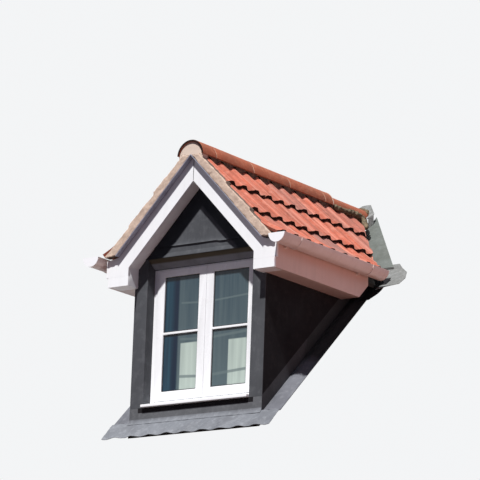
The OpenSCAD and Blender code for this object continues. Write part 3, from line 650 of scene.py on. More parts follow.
@dataclass(frozen=True)
class Viewpoint:
    """The camera, fitted to the straight edges of the roof and the window."""

    yaw: float = 35.9706
    rise: float = 13.8187
    roll: float = 2.033
    place: tuple[float, float, float] = (13.0245, -17.4852, -3.9967)
    lens: float = 240.735
    sensor: float = 36.0
    clip: tuple[float, float] = (0.5, 200.0)

    def build(self) -> None:
        """Sets up the camera."""
        yaw, rise, roll = (math.radians(turn) for turn in (self.yaw, self.rise, self.roll))
        ahead = Vector((-math.sin(yaw) * math.cos(rise), math.cos(yaw) * math.cos(rise), math.sin(rise)))
        level = ahead.cross(Vector((0, 0, 1))).normalized()
        plumb = level.cross(ahead)
        right = math.cos(roll) * level + math.sin(roll) * plumb
        up = math.cos(roll) * plumb - math.sin(roll) * level
        data = bpy.data.cameras.new("Camera")
        data.lens, data.sensor_width, data.sensor_fit = self.lens, self.sensor, "HORIZONTAL"
        data.clip_start, data.clip_end = self.clip
        camera = bpy.data.objects.new("Camera", data)
        bpy.context.scene.collection.objects.link(camera)
        camera.matrix_world = Matrix((right, up, -ahead)).transposed().to_4x4()
        camera.location = self.place
        bpy.context.scene.camera = camera


@dataclass(frozen=True)
class Studio:
    """Soft studio light, a pale background and a pale floor under the object."""

    sun: float = 5.6
    sun_angle: float = math.radians(2.0)
    sun_colour: Colour = (1.0, 0.99, 0.975)
    to_sun: tuple[float, float, float] = (0.0903, -0.5474, 0.832)
    fill: float = 10.5
    fill_size: float = 2.0
    fill_spread: float = math.radians(110.0)
    fill_colour: Colour = (1.0, 0.47, 0.36)
    fill_place: tuple[float, float, float] = (2.7, 0.4, 0.05)
    fill_target: tuple[float, float, float] = (0.75, 0.4, 1.2)
    ambient: Colour = (0.10, 0.118, 0.185)
    background: Colour = (0.9, 0.91, 0.92)
    floor_place: tuple[float, float, float] = (0.0, 0.9, -0.07)
    floor_size: float = 14.0
    floor_shades: tuple[Colour, Colour] = ((0.54, 0.54, 0.54), (0.57, 0.565, 0.56))
    floor_glow: Colour = (0.13, 0.085, 0.075)

    def build(self) -> None:
        """Makes the lights, the world and the floor."""
        sun = self._light("Key light", "SUN", self.sun, self.sun_colour, Vector(self.to_sun))
        sun.data.angle = self.sun_angle
        away = Vector(self.fill_place) - Vector(self.fill_target)
        fill = self._light("Low fill", "AREA", self.fill, self.fill_colour, away)
        fill.data.size, fill.data.spread = self.fill_size, self.fill_spread
        fill.location = self.fill_place
        fill.visible_camera = fill.visible_glossy = False
        self._world()
        self._floor()
        bpy.context.scene.view_settings.view_transform = "Standard"

    @staticmethod
    def _light(name: str, kind: str, energy: float, colour: Colour, away: Vector) -> bpy.types.Object:
        """Makes a light.

        Args:
            name: its name.
            kind: its type.
            energy: its strength.
            colour: its colour.
            away: the direction from what it lights to the light.

        Returns:
            The light's object.
        """
        data = bpy.data.lights.new(name, kind)
        data.energy, data.color = energy, colour
        light = bpy.data.objects.new(name, data)
        light.rotation_euler = away.to_track_quat("Z", "Y").to_euler()
        bpy.context.scene.collection.objects.link(light)
        return light

    def _world(self) -> None:
        """Makes the pale background and the light that comes from all sides."""
        world = bpy.data.worlds.new("Studio")
        world.use_nodes = True
        bpy.context.scene.world = world
        tree = Tree(world.node_tree)
        soft = tree.node("ShaderNodeBackground", {"Color": self.ambient, "Strength": 1.0})
        plain = tree.node("ShaderNodeBackground", {"Color": self.background, "Strength": 1.0})
        mixed = tree.node("ShaderNodeMixShader", {0: tree.shown(), 1: soft.outputs[0], 2: plain.outputs[0]})
        tree.node("ShaderNodeOutputWorld", {"Surface": mixed.outputs[0]})

    def _floor(self) -> None:
        """Makes the floor, which is clear from below, where the camera stands."""
        bpy.ops.mesh.primitive_plane_add(size=self.floor_size, location=self.floor_place)
        floor = bpy.context.active_object
        floor.name = "Floor"
        made, tree = blank_material("Pale floor")
        shade = tree.blend(tree.noise(1.5), *self.floor_shades)
        lit = tree.blend(tree.shown(), self.floor_glow, shade)
        plain = tree.node("ShaderNodeBsdfDiffuse", {"Color": lit})
        clear = tree.node("ShaderNodeBsdfTransparent")
        back = tree.node("ShaderNodeNewGeometry").outputs["Backfacing"]
        mixed = tree.node("ShaderNodeMixShader", {0: back, 1: plain.outputs[0], 2: clear.outputs[0]})
        tree.node("ShaderNodeOutputMaterial", {"Surface": mixed.outputs[0]})
        floor.data.materials.append(made)


class Shop:
    """Dresses the CAD nodes and turns finished shapes into pieces of the model."""

    def __init__(self, nodes: dict[str, bpy.types.Object]) -> None:
        """Keeps the CAD nodes and makes the shared groups.

        Args:
            nodes: the CAD nodes by name.
        """
        self.nodes = nodes
        self.groups = Groups()
        self.made: dict[str, bpy.types.Material] = {}

    def finish(self, finish: Look) -> bpy.types.Material:
        """Makes the material of a finish the first time that it is asked for.

        Args:
            finish: the finish.

        Returns:
            Its material.
        """
        if finish.name not in self.made:
            self.made[finish.name] = finish.material(self.groups)
        return self.made[finish.name]

    def dress(self, finish: Look, *names: str) -> None:
        """Puts a finish on CAD nodes.

        Args:
            finish: the finish.
            names: the nodes' names.
        """
        for name in names:
            self.nodes[name].data.materials.clear()
            self.nodes[name].data.materials.append(self.finish(finish))
            log.info("%s: %s", name, finish.name)

    def copy(self, name: str) -> Mesh:
        """Copies a CAD node's mesh, merged and with its flat faces whole.

        Args:
            name: the node's name.

        Returns:
            The copy.
        """
        bm = bmesh.new()
        bm.from_mesh(self.nodes[name].data)
        bmesh.ops.remove_doubles(bm, verts=bm.verts, dist=2.0 * HAIR)
        bmesh.ops.dissolve_limit(bm, angle_limit=math.radians(0.5), verts=bm.verts, edges=bm.edges)
        return bm

    def place(self, name: str, bm: Mesh, finishes: Sequence[Look], slot: str,
              replaces: Sequence[str] = (), smooth: float = 40.0) -> None:
        """Makes a piece of a shape and lets it ride on the model.

        Args:
            name: the piece's name.
            bm: the finished shape, which is freed.
            finishes: the finishes in the order of the faces' material places.
            slot: the record's material slot, which is not used here.
            replaces: the CAD nodes that the piece stands for.
            smooth: the largest angle between faces that is shaded smooth, in degrees.
        """
        mesh = bpy.data.meshes.new(name)
        bm.to_mesh(mesh)
        bm.free()
        mesh.shade_smooth()
        mesh.set_sharp_from_angle(angle=math.radians(smooth))
        for finish in finishes:
            mesh.materials.append(self.finish(finish))
        piece = bpy.data.objects.new(name, mesh)
        bpy.context.scene.collection.objects.link(piece)
        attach(piece, "root")
        if replaces:
            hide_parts(*replaces)
        log.info("%s: %d faces", name, len(mesh.polygons))


def ripple(*place: float) -> float:
    """Returns soft noise from -1 to 1 at a place."""
    return noise.noise(Vector(place))


def between(low: float, high: float, share: float) -> float:
    """Returns the value at a share of the way from one value to another."""
    return low + (high - low) * share


def grid(bm: Mesh, across: int, up: int) -> list[bmesh.types.BMVert]:
    """Adds a flat sheet one unit wide and high round the origin and returns its corners."""
    return bmesh.ops.create_grid(bm, x_segments=across, y_segments=up, size=0.5)["verts"]


def faces_of(verts: Sequence[bmesh.types.BMVert]) -> list[bmesh.types.BMFace]:
    """Returns the faces at some corners, each once."""
    return list(dict.fromkeys(face for vert in verts for face in vert.link_faces))


def sharp_edges(bm: Mesh, angle: float) -> list[bmesh.types.BMEdge]:
    """Returns the edges whose two faces meet at more than an angle."""
    return [edge for edge in bm.edges if len(edge.link_faces) == 2 and edge.calc_face_angle() > angle]


def cut_off(bm: Mesh, place: Sequence[float], outwards: Sequence[float]) -> list[bmesh.types.BMEdge]:
    """Cuts away what lies beyond a plane.

    Args:
        bm: the shape.
        place: a place on the plane.
        outwards: the direction of what is cut away.

    Returns:
        The new edges along the cut.
    """
    parts = bm.verts[:] + bm.edges[:] + bm.faces[:]
    cut = bmesh.ops.bisect_plane(bm, geom=parts, dist=HAIR, plane_co=place, plane_no=outwards,
                                 clear_outer=True)
    return [part for part in cut["geom_cut"] if isinstance(part, bmesh.types.BMEdge)]


def thicken(bm: Mesh, thickness: float) -> None:
    """Gives an open sheet its thickness."""
    bmesh.ops.solidify(bm, geom=bm.faces[:], thickness=thickness)
    bmesh.ops.recalc_face_normals(bm, faces=bm.faces)


def join(whole: Mesh, part: Mesh) -> None:
    """Adds a part to a whole and frees it.

    Args:
        whole: the shape that grows.
        part: the shape that goes into it.
    """
    spare = bpy.data.meshes.new("spare")
    part.to_mesh(spare)
    whole.from_mesh(spare)
    bpy.data.meshes.remove(spare)
    part.free()


def floated(rough: Mesh, grain: float, depth: float, scale: float, sink: float = 0.0) -> Mesh:
    """Joins overlapping shapes into one lump, rounds it and roughens it, as mortar is floated by hand.

    Args:
        rough: the overlapping shapes, which are freed.
        grain: the size of the new mesh's squares.
        depth: how far the roughness stands out.
        scale: the roughness in cycles a metre.
        sink: the share of the depth by which the whole face is sunk.

    Returns:
        The new closed shape.
    """
    mesh = bpy.data.meshes.new("spare")
    rough.to_mesh(mesh)
    rough.free()
    spare = bpy.data.objects.new("spare", mesh)
    bpy.context.scene.collection.objects.link(spare)
    remesh = spare.modifiers.new("Remesh", "REMESH")
    remesh.mode, remesh.voxel_size = "VOXEL", grain
    whole = bmesh.new()
    whole.from_object(spare, bpy.context.evaluated_depsgraph_get())
    bpy.data.objects.remove(spare)
    bpy.data.meshes.remove(mesh)
    for _ in range(2):
        bmesh.ops.smooth_vert(whole, verts=whole.verts, factor=0.5,
                              use_axis_x=True, use_axis_y=True, use_axis_z=True)
    whole.normal_update()
    for vert in whole.verts:
        vert.co += vert.normal * depth * (noise.fractal(vert.co * scale, 0.7, 2.1, 4) - sink)
    return whole


@dataclass
class SubAssembly:
    """A part of the dormer with sizes of its own, which is built in the shop."""

    shop: Shop

    def build(self) -> None:
        """Makes the part's pieces."""
        raise NotImplementedError


class Side(Enum):
    """The two slopes of the roof."""

    LEFT = -1
    RIGHT = 1


class Row(Enum):
    """The tile courses, from the ridge down."""

    TOP = 0
    MIDDLE = 1
    EAVES = 2


@dataclass
class TileCourses(SubAssembly):
    """The tile courses of both slopes, laid tile by tile in double rolls."""

    crest_z: float = 2.052
    crest_y: float = 0.078
    course_pitch: float = math.radians(41.2)
    tails: tuple[float, float, float] = (0.314, 0.5224, 0.738)
    lengths: tuple[float, float, float] = (0.372, 0.375, 0.375)
    width: float = 2.0 * ROLL
    thickness: float = 0.021
    depth: float = 0.026
    trough: float = 0.36
    rib: float = 0.003
    rib_w: float = 0.05
    ribs: tuple[float, float] = (0.55, 0.8)
    edge: float = -0.32 * ROLL
    lap: float = 0.004
    tuck_w: float = 0.012
    tuck_drop: float = 0.011
    kick: float = 0.072
    kick_reach: float = 0.8
    columns: int = 36
    places: int = 9
    verge_y: float = -0.150
    head_x: float = 0.0749
    valley_y: float = 1.9576
    valley_fall: float = 1.0874
    tail_facing: float = 0.6
    tint: tuple[float, float] = (-0.05, 0.28)
    most_tint: float = 0.9
    lift: float = 0.0012
    slide: float = 0.003

    def build(self) -> None:
        """Lays every course."""
        for side in Side:
            for row in Row:
                self._course(side, row)

    def height(self, y: float) -> float:
        """Returns the height of the rolled skin at a distance back from the front lead face.

        Args:
            y: the distance.

        Returns:
            The height against the crest of a roll.
        """
        turn = ((y - self.crest_y) / ROLL) % 1.0
        swing = turn / self.trough if turn < self.trough else (1.0 - turn) / (1.0 - self.trough)
        rolled = -self.depth * (1.0 - math.cos(math.pi * swing)) / 2.0
        return rolled + self.rib * sum(math.exp(-(((turn - at) / self.rib_w) ** 2)) for at in self.ribs)

    def _course(self, side: Side, row: Row) -> None:
        """Lays one course.

        Args:
            side: its slope.
            row: its place on the slope.
        """
        dice = random.Random(100 * (row.value + 1) + side.value)
        tail = self.tails[row.value]
        seat = Matrix.Translation((tail, 0.0, self.crest_z - tail * math.tan(ROOF_PITCH)))
        seat = seat @ Matrix.Rotation(self.course_pitch, 4, "Y")
        first = self.crest_y - self.width - (ROLL if row is Row.MIDDLE else 0.0)
        course = bmesh.new()
        for layer in ("tint", "hollow"):
            course.verts.layers.float.new(layer)
        for place in range(self.places):
            tile = self._tile(first + self.width * place, row, dice)
            bmesh.ops.transform(tile, matrix=seat, verts=tile.verts)
            self._trim(tile)
            if tile.faces:
                self._thicken(tile)
            join(course, tile)
        finishes = (CLAY, SHADED_TILE_EDGE)
        down = Vector((math.cos(self.course_pitch), 0.0, -math.sin(self.course_pitch)))
        # Faces that look down the slope, the tile tails, take the near-black painted shade.
        for face in course.faces:
            if face.normal.dot(down) > self.tail_facing:
                face.material_index = finishes.index(SHADED_TILE_EDGE)
        if side is Side.LEFT:
            bmesh.ops.scale(course, vec=(-1.0, 1.0, 1.0), verts=course.verts)
            bmesh.ops.reverse_faces(course, faces=course.faces)
        name = f"{side.name.lower()}_{row.name.lower()}"
        self.shop.place(f"tile_course_{name}", course, finishes, "clay_tile", (f"tiles_{name}",))

    def _tile(self, start: float, row: Row, dice: random.Random) -> Mesh:
        """Makes the upper skin of one tile in its course's frame.

        Args:
            start: where the tile's first crest lies behind the front lead face.
            row: its course.
            dice: the source of the small differences between tiles.

        Returns:
            The open skin, with its tint and hollow values.
        """
        shown_w = self.width - self.lap
        lines = [(-self.tuck_w, -self.tuck_drop), (0.0, -self.tuck_drop)]
        lines += [(self.lap + shown_w * i / self.columns, 0.0) for i in range(self.columns + 1)]
        bm = bmesh.new()
        grid(bm, len(lines) - 1, 5)
        tint_layer = bm.verts.layers.float.new("tint")
        hollow_layer = bm.verts.layers.float.new("hollow")
        tint = min(max(0.0, dice.gauss(*self.tint)), self.most_tint)
        lift, slide, skew = (dice.uniform(-most, most) for most in (self.lift, self.slide, self.slide))
        kick = self.kick if row is Row.EAVES else 0.0
        for vert in bm.verts:
            offset, drop = lines[round((vert.co.x + 0.5) * (len(lines) - 1))]
            up = vert.co.y + 0.5
            y = start + self.edge + offset
            height = self.height(y)
            vert[hollow_layer] = min(1.0, -height / self.depth)
            vert[tint_layer] = tint
            along = -up * self.lengths[row.value] + slide * (1.0 - up) + skew * (offset / self.width - 0.5)
            raised = lift * (1.0 - up) + kick * max(0.0, self.kick_reach - up) ** 2
            vert.co = (along, y, height + drop + raised)
        return bm

    def _trim(self, tile: Mesh) -> None:
        """Cuts a tile at the verge, under the ridge and along the valley.

        Args:
            tile: the open skin of the tile in its place on the roof.
        """
        for place, outwards in (((0.0, self.verge_y, 0.0), (0.0, -1.0, 0.0)),
                                ((self.head_x, 0.0, 0.0), (-1.0, 0.0, 0.0)),
                                ((0.0, self.valley_y, 0.0), (self.valley_fall, 1.0, 0.0))):
            cut_off(tile, place, outwards)

    def _thicken(self, tile: Mesh) -> None:
        """Gives an open tile its thickness below the skin.

        Args:
            tile: the open skin.
        """
        bmesh.ops.recalc_face_normals(tile, faces=tile.faces)
        if tile.faces[0].normal.z < 0.0:
            bmesh.ops.reverse_faces(tile, faces=tile.faces)
        thicken(tile, self.thickness)


@dataclass
class Ridge(SubAssembly):
    """The half-round ridge tiles, each laid a little out of line with the next."""

    outer: float = 0.113
    wall: float = 0.016
    foot_rise: float = 0.005
    joints: tuple[float, ...] = (-0.003, 0.452, 0.907, 1.362)
    joint: float = 0.0075
    front_y: float = -0.169
    open_y: float = 1.47
    back_y: float = 2.02
    tuck: float = 0.04
    step: float = 0.018
    lip: tuple[float, float] = (-0.009, 0.001)
    lip_rise: float = 0.002
    slope_rise: float = 0.100
    end_depth: float = 0.003
    end_facing: float = 0.8
    rim: float = 0.0025
    rim_angle: float = 1.2
    turns: int = 32
    yaw: float = 0.004
    tilt: float = 0.003
    seed: int = 17

    def build(self) -> None:
        """Makes the ridge tiles as one piece."""
        dice = random.Random(self.seed)
        whole = bmesh.new()
        starts = (self.front_y, *(y + self.joint / 2.0 for y in self.joints))
        ends = (*(y - self.joint / 2.0 for y in self.joints), self.open_y)
        for start, end in zip(starts, ends):
            join(whole, self._length(start, end, self.outer, dice))
        join(whole, self._length(self.open_y - self.tuck, self.back_y, self.outer - self.step, dice))
        finishes = (RIDGE_CLAY, MORTAR, SHADED_TILE_EDGE)
        lip_start, lip_end = (self.open_y + reach for reach in self.lip)
        lip = self._length(lip_start, lip_end, self.outer + self.lip_rise, dice)
        for face in lip.faces:
            face.material_index = finishes.index(MORTAR)
        join(whole, lip)
        # The ridge's front end faces take the near-black painted shade of its dark rim.
        for face in whole.faces:
            reach = face.calc_center_median().y - self.front_y
            if face.normal.y < -self.end_facing and reach < self.end_depth:
                face.material_index = finishes.index(SHADED_TILE_EDGE)
        fall = math.tan(SLOPE_PITCH)
        rim = cut_off(whole, (0.0, -self.slope_rise / fall, 0.0), (0.0, fall, -1.0))
        bmesh.ops.holes_fill(whole, edges=rim)
        self.shop.place("ridge_tiles_laid", whole, finishes, "clay_ridge", ("ridge_tiles",))

    def _length(self, start: float, end: float, outer: float, dice: random.Random) -> Mesh:
        """Makes one ridge tile.

        Args:
            start: its front end.
            end: its back end.
            outer: its outer radius.
            dice: the source of its small differences.

        Returns:
            The closed shape.
        """
        rise = math.asin(self.foot_rise / outer)
        inner = min(self.outer, outer) - self.wall
        axis = (0.0, 0.0, RIDGE_Z)
        bm = bmesh.new()
        corners = [bm.verts.new((radius, y, RIDGE_Z)) for radius, y in
                   ((inner, start), (outer, start), (outer, end), (inner, end))]
        edges = [bm.edges.new((corners[i], corners[(i + 1) % 4])) for i in range(4)]
        bmesh.ops.subdivide_edges(bm, edges=[edges[1], edges[3]], cuts=5)
        bmesh.ops.rotate(bm, verts=bm.verts, cent=axis, matrix=Matrix.Rotation(-rise, 3, "Y"))
        bmesh.ops.spin(bm, geom=bm.verts[:] + bm.edges[:], cent=axis, axis=(0.0, 1.0, 0.0),
                       angle=-(math.pi - 2.0 * rise), steps=self.turns, use_merge=False)
        bmesh.ops.holes_fill(bm, edges=[edge for edge in bm.edges if edge.is_boundary])
        bmesh.ops.recalc_face_normals(bm, faces=bm.faces)
        rims = [edge for edge in sharp_edges(bm, self.rim_angle)
                if abs(edge.verts[0].co.y - edge.verts[1].co.y) < HAIR]
        bmesh.ops.bevel(bm, geom=rims, offset=self.rim, offset_type="OFFSET", affect="EDGES",
                        segments=2, profile=0.5, material=-1)
        yawed = Matrix.Rotation(dice.uniform(-self.yaw, self.yaw), 3, "Z")
        tilted = Matrix.Rotation(dice.uniform(-self.tilt, self.tilt), 3, "X")
        middle = (0.0, (start + end) / 2.0, RIDGE_Z)
        bmesh.ops.rotate(bm, verts=bm.verts, cent=middle, matrix=yawed @ tilted)
        return bm


@dataclass
class VergeMortar(SubAssembly):
    """The mortar along both verges, floated by hand."""

    grain: float = 0.0055
    depth: float = 0.0032
    scale: float = 19.0
    sink: float = 0.25

    def build(self) -> None:
        """Makes the mortar as one piece."""
        whole = floated(self.shop.copy("verge_mortar"), self.grain, self.depth, self.scale, self.sink)
        self.shop.place("verge_mortar_floated", whole, (VERGE_BED,), "mortar", ("verge_mortar",), 60.0)


@dataclass(frozen=True)
class Easing:
    """How the sharp edges of some boards or frames are eased."""

    finish: Finish
    slot: str
    radius: float
    nodes: tuple[str, ...]


@dataclass
class Joinery(SubAssembly):
    """The painted boards, frame and casements, with eased edges."""

    parts: tuple[Easing, ...] = (
        Easing(BOARD, "white_board", 0.001,
               ("barge_board_left", "barge_board_right", "box_ends", "gable_soffit")),
        Easing(EAVES_BOARD_ROOF_GLOW, "white_board", 0.001, ("eaves_soffits",)),
        Easing(EAVES_BOARD_ROOF_GLOW, "white_board", 0.002, ("fascias",)),
        Easing(SASH, "white_sash", 0.002, ("window_frame",)),
        Easing(SASH, "white_sash", 0.003, ("casement_left", "casement_right", "window_sill")),
    )
    sill: str = "window_sill"
    nose: float = 0.012
    nose_depth: float = 0.001
    sharp: float = math.radians(25.0)

    def build(self) -> None:
        """Eases every board and frame."""
        for part in self.parts:
            for node in part.nodes:
                self._ease(node, part)

    def _ease(self, node: str, part: Easing) -> None:
        """Makes the eased piece of a node.

        Args:
            node: the node's name.
            part: how its edges are eased.
        """
        bm = self.shop.copy(node)
        if node == self.sill:
            self._draw_out(bm)
        bmesh.ops.bevel(bm, geom=sharp_edges(bm, self.sharp), offset=part.radius, offset_type="OFFSET",
                        affect="EDGES", segments=2, profile=0.5, material=-1, clamp_overlap=True)
        self.shop.place(f"{node}_eased", bm, (part.finish,), part.slot, (node,), 20.0)

    def _draw_out(self, bm: Mesh) -> None:
        """Draws the front of the sill out to its nose.

        Args:
            bm: the sill.
        """
        front = min(vert.co.y for vert in bm.verts)
        verts = [vert for vert in bm.verts if vert.co.y < front + self.nose_depth]
        bmesh.ops.translate(bm, verts=verts, vec=(0.0, -self.nose, 0.0))


@dataclass
class Gaskets(SubAssembly):
    """Black seals round the four panes."""

    inner_x: float = 0.063
    pane_w: float = 0.300
    panes: tuple[tuple[float, float], ...] = ((0.318, 0.726), (0.742, 1.142))
    front_y: float = 0.0885
    depth: float = 0.0033
    width: float = 0.006
    gap: float = 0.0003

    def build(self) -> None:
        """Makes the seals as one piece."""
        whole = bmesh.new()
        for side in Side:
            for low, high in self.panes:
                x = side.value * (self.inner_x + self.pane_w / 2.0)
                self._seal(whole, Vector((x, self.front_y, (low + high) / 2.0)), high - low - 2.0 * self.gap)
        self.shop.place("pane_seals", whole, (SEAL,), "lead_dark", (), 30.0)

    def _seal(self, whole: Mesh, middle: Vector, height: float) -> None:
        """Adds one seal.

        Args:
            whole: the shape of all the seals.
            middle: the middle of the pane's face.
            height: the seal's height.
        """
        upright = Matrix.Translation(middle) @ Matrix.Rotation(math.radians(90.0), 4, "X")
        seat = upright @ Matrix.Diagonal((self.pane_w - 2.0 * self.gap, height, 1.0, 1.0))
        made = bmesh.ops.create_grid(whole, x_segments=1, y_segments=1, size=0.5, matrix=seat)
        pane = faces_of(made["verts"])
        ring = bmesh.ops.inset_region(whole, faces=pane, thickness=self.width, use_even_offset=True,
                                      use_boundary=True)["faces"]
        bmesh.ops.delete(whole, geom=pane, context="FACES_ONLY")
        grown = bmesh.ops.extrude_face_region(whole, geom=ring, use_keep_orig=True)["geom"]
        verts = [part for part in grown if isinstance(part, bmesh.types.BMVert)]
        bmesh.ops.translate(whole, verts=verts, vec=(0.0, self.depth, 0.0))
        bmesh.ops.recalc_face_normals(whole, faces=whole.faces)


@dataclass
class BargeMitre(SubAssembly):
    """The dark open joint where the two barge boards meet."""

    front_y: float = -0.1203
    low_z: float = 1.762
    high_z: float = 1.929
    width: tuple[float, float] = (0.0036, 0.006)
    drift: float = 0.0015
    thickness: float = 0.0005

    def build(self) -> None:
        """Makes the joint as a thin uneven strip, which widens upwards."""
        low_w, high_w = self.width
        bm = bmesh.new()
        for vert in grid(bm, 2, 24):
            up = vert.co.y + 0.5
            x = vert.co.x * between(low_w, high_w, up) + self.drift * ripple(2.0, up * 5.0, 0.0)
            vert.co = (x, self.front_y, between(self.low_z, self.high_z, up))
        thicken(bm, self.thickness)
        self.shop.place("barge_mitre", bm, (SEAL,), "lead_dark")


@dataclass
class GableSheet(SubAssembly):
    """The upper lead sheet of the gable, whose lower edge stands off the sheet below."""

    reach: float = 0.44
    lap_z: float = 1.3385
    step_x: float = 0.150
    step_w: float = 0.012
    step: float = 0.006
    drift: float = 0.002
    proud: float = 0.0022
    curl: float = 0.007
    curl_rise: float = 0.011
    swell: float = 0.0016
    thickness: float = 0.0012

    def build(self) -> None:
        """Makes the sheet."""
        bm = bmesh.new()
        for vert in grid(bm, 88, 40):
            x = 2.0 * self.reach * vert.co.x
            low = self._lap(x)
            rise = (vert.co.y + 0.5) ** 1.6 * (GABLE_APEX_Z - low)
            out = self.proud + self.curl * math.exp(-rise / self.curl_rise)
            vert.co = (x, self.swell * ripple(x * 7.0, 0.5, rise * 7.0) - out, low + rise)
        for hand in (-1.0, 1.0):
            cut_off(bm, (0.0, 0.0, GABLE_APEX_Z), (hand * math.tan(SOFFIT_PITCH), 0.0, 1.0))
        thicken(bm, self.thickness)
        self.shop.place("gable_sheet_lapped", bm, (GABLE_LEAD,), "lead_dark")

    def _lap(self, x: float) -> float:
        """Returns the height of the lower edge at a distance from the middle."""
        turn = min(1.0, max(0.0, (x - self.step_x) / self.step_w + 0.5))
        return self.lap_z + self.drift * ripple(x * 6.0, 3.1, 0.0) - self.step * turn


@dataclass
class Apron(SubAssembly):
    """The lead apron: an upstand under the sill and a skirt dressed over the slope's rolls."""

    half_w: float = 0.566
    reach: float = 0.716
    top_z: float = 0.1965
    bend_z: float = 0.1
    cove: float = 0.040
    lap: float = 0.012
    off_wall: float = 0.0003
    proud: float = 0.0012
    dented: float = 0.4
    fade: float = 0.03
    upstand_thickness: float = 0.0025
    length: float = 0.172
    ragged: float = 0.005
    wave: float = 0.012
    sunk: float = 0.002
    dent: float = 0.0022
    skirt_thickness: float = 0.003
    pale_z: float = 0.1185
    pale_y: float = -0.02
    sill_shadow_z: float = 0.162
    sill_shadow_x: float = 0.495

    def build(self) -> None:
        """Makes both sheets as one piece."""
        whole = bmesh.new()
        self._skirt(whole)
        self._upstand(whole)
        finishes = (APRON_LEAD, UPSTAND_LEAD, SHADE_LEAD)
        for face in whole.faces:
            middle = face.calc_center_median()
            # Painted shadow of the sill: the upstand's strip under it takes the near-black shade lead.
            if middle.z > self.sill_shadow_z and abs(middle.x) < self.sill_shadow_x:
                face.material_index = finishes.index(SHADE_LEAD)
            elif middle.z > self.pale_z and middle.y > self.pale_y:
                face.material_index = finishes.index(UPSTAND_LEAD)
        self.shop.place("apron_dressed", whole, finishes, "lead_pale", ("apron_lead",), 45.0)

    def _on_slope(self, x: float, down: float, lift: float) -> Vector:
        """Returns a place on the slope's plane, lifted square to it."""
        y = -down * math.cos(SLOPE_PITCH) - lift * math.sin(SLOPE_PITCH)
        return Vector((x, y, self.bend_z - down * math.sin(SLOPE_PITCH) + lift * math.cos(SLOPE_PITCH)))

    def _dent(self, x: float, down: float) -> float:
        """Returns the small dents of the dressing tool."""
        return self.dent * noise.fractal(Vector((x * 11.0, down * 16.0, 4.0)), 0.7, 2.0, 3)

    def _skirt(self, whole: Mesh) -> None:
        """Adds the skirt, whose waves grow towards its ragged lower edge.

        Args:
            whole: the shape that grows.
        """
        verts = grid(whole, 180, 18)
        for vert in verts:
            x, share = 2.0 * self.reach * vert.co.x, 0.5 - vert.co.y
            ragged = self.ragged * noise.fractal(Vector((x * 9.0, 1.0, 0.0)), 0.6, 2.0, 4)
            down = share * (self.length + ragged)
            swing = (math.cos(2.0 * math.pi * x / ROLL) - 1.0) / 2.0
            lift = self.wave * swing * share ** 1.4 - self.sunk + self._dent(x, down)
            vert.co = self._on_slope(x, down, lift)
        self._close(whole, faces_of(verts), self.skirt_thickness)

    def _upstand(self, whole: Mesh) -> None:
        """Adds the upstand, which coves out on to the skirt.

        Args:
            whole: the shape that grows.
        """
        verts = grid(whole, 110, 22)
        turn = math.pi / 2.0 - SLOPE_PITCH
        tangent = self.cove * math.tan(turn / 2.0)
        upright = self.top_z - self.bend_z - tangent
        curved = self.cove * turn
        length = upright + curved + self.lap
        for vert in verts:
            x, along = 2.0 * self.half_w * vert.co.x, (0.5 - vert.co.y) * length
            angle = min(turn, max(0.0, (along - upright) / self.cove))
            out = Vector((0.0, -math.cos(angle), math.sin(angle)))
            if along < upright:
                place = Vector((x, 0.0, self.top_z - along))
            elif along < upright + curved:
                place = Vector((x, -self.cove, self.bend_z + tangent)) - self.cove * out
            else:
                place = self._on_slope(x, along - upright - curved + tangent, 0.0)
            fade = min(1.0, (length - along) / self.fade)
            raised = self.proud + self.dented * abs(self._dent(x, along))
            vert.co = place + out * (self.off_wall + fade * raised)
        self._close(whole, faces_of(verts), self.upstand_thickness)

    @staticmethod
    def _close(whole: Mesh, faces: list[bmesh.types.BMFace], thickness: float) -> None:
        """Gives an open sheet its thickness towards the back.

        Args:
            whole: the shape that the sheet is part of.
            faces: the sheet's faces.
            thickness: its thickness.
        """
        bmesh.ops.recalc_face_normals(whole, faces=faces)
        if faces[0].normal.y > 0.0:
            bmesh.ops.reverse_faces(whole, faces=faces)
        grown = bmesh.ops.solidify(whole, geom=faces, thickness=thickness)["geom"]
        both = faces + [part for part in grown if isinstance(part, bmesh.types.BMFace)]
        bmesh.ops.recalc_face_normals(whole, faces=list(dict.fromkeys(both)))


@dataclass
class EavesFelt(SubAssembly):
    """The strip of felt from the fascia's top to the gutter's rim, on both sides."""

    line: tuple[tuple[float, float], ...] = (
        (0.700, 1.2516), (0.7165, 1.2520), (0.726, 1.2590), (0.7335, 1.2668))
    front_y: float = -0.099
    back_y: float = 1.038
    steps: int = 24
    swell: float = 0.0006
    thickness: float = 0.0018

    def build(self) -> None:
        """Makes both strips as one piece."""
        bm = bmesh.new()
        stride = (self.back_y - self.front_y) / self.steps
        for side in Side:
            verts = [bm.verts.new((side.value * x, self.front_y, z)) for x, z in self.line]
            edges = [bm.edges.new(pair) for pair in zip(verts, verts[1:])]
            bmesh.ops.spin(bm, geom=verts + edges, cent=(0.0, 0.0, 0.0), axis=(0.0, 1.0, 0.0), angle=0.0,
                           steps=self.steps, dvec=(0.0, stride, 0.0), use_merge=False)
        bmesh.ops.recalc_face_normals(bm, faces=bm.faces)
        for vert in bm.verts:
            vert.co.z += self.swell * ripple(vert.co.x * 40.0, vert.co.y * 9.0, 2.0)
        thicken(bm, self.thickness)
        self.shop.place("eaves_felt", bm, (FELT,), "lead_dark")


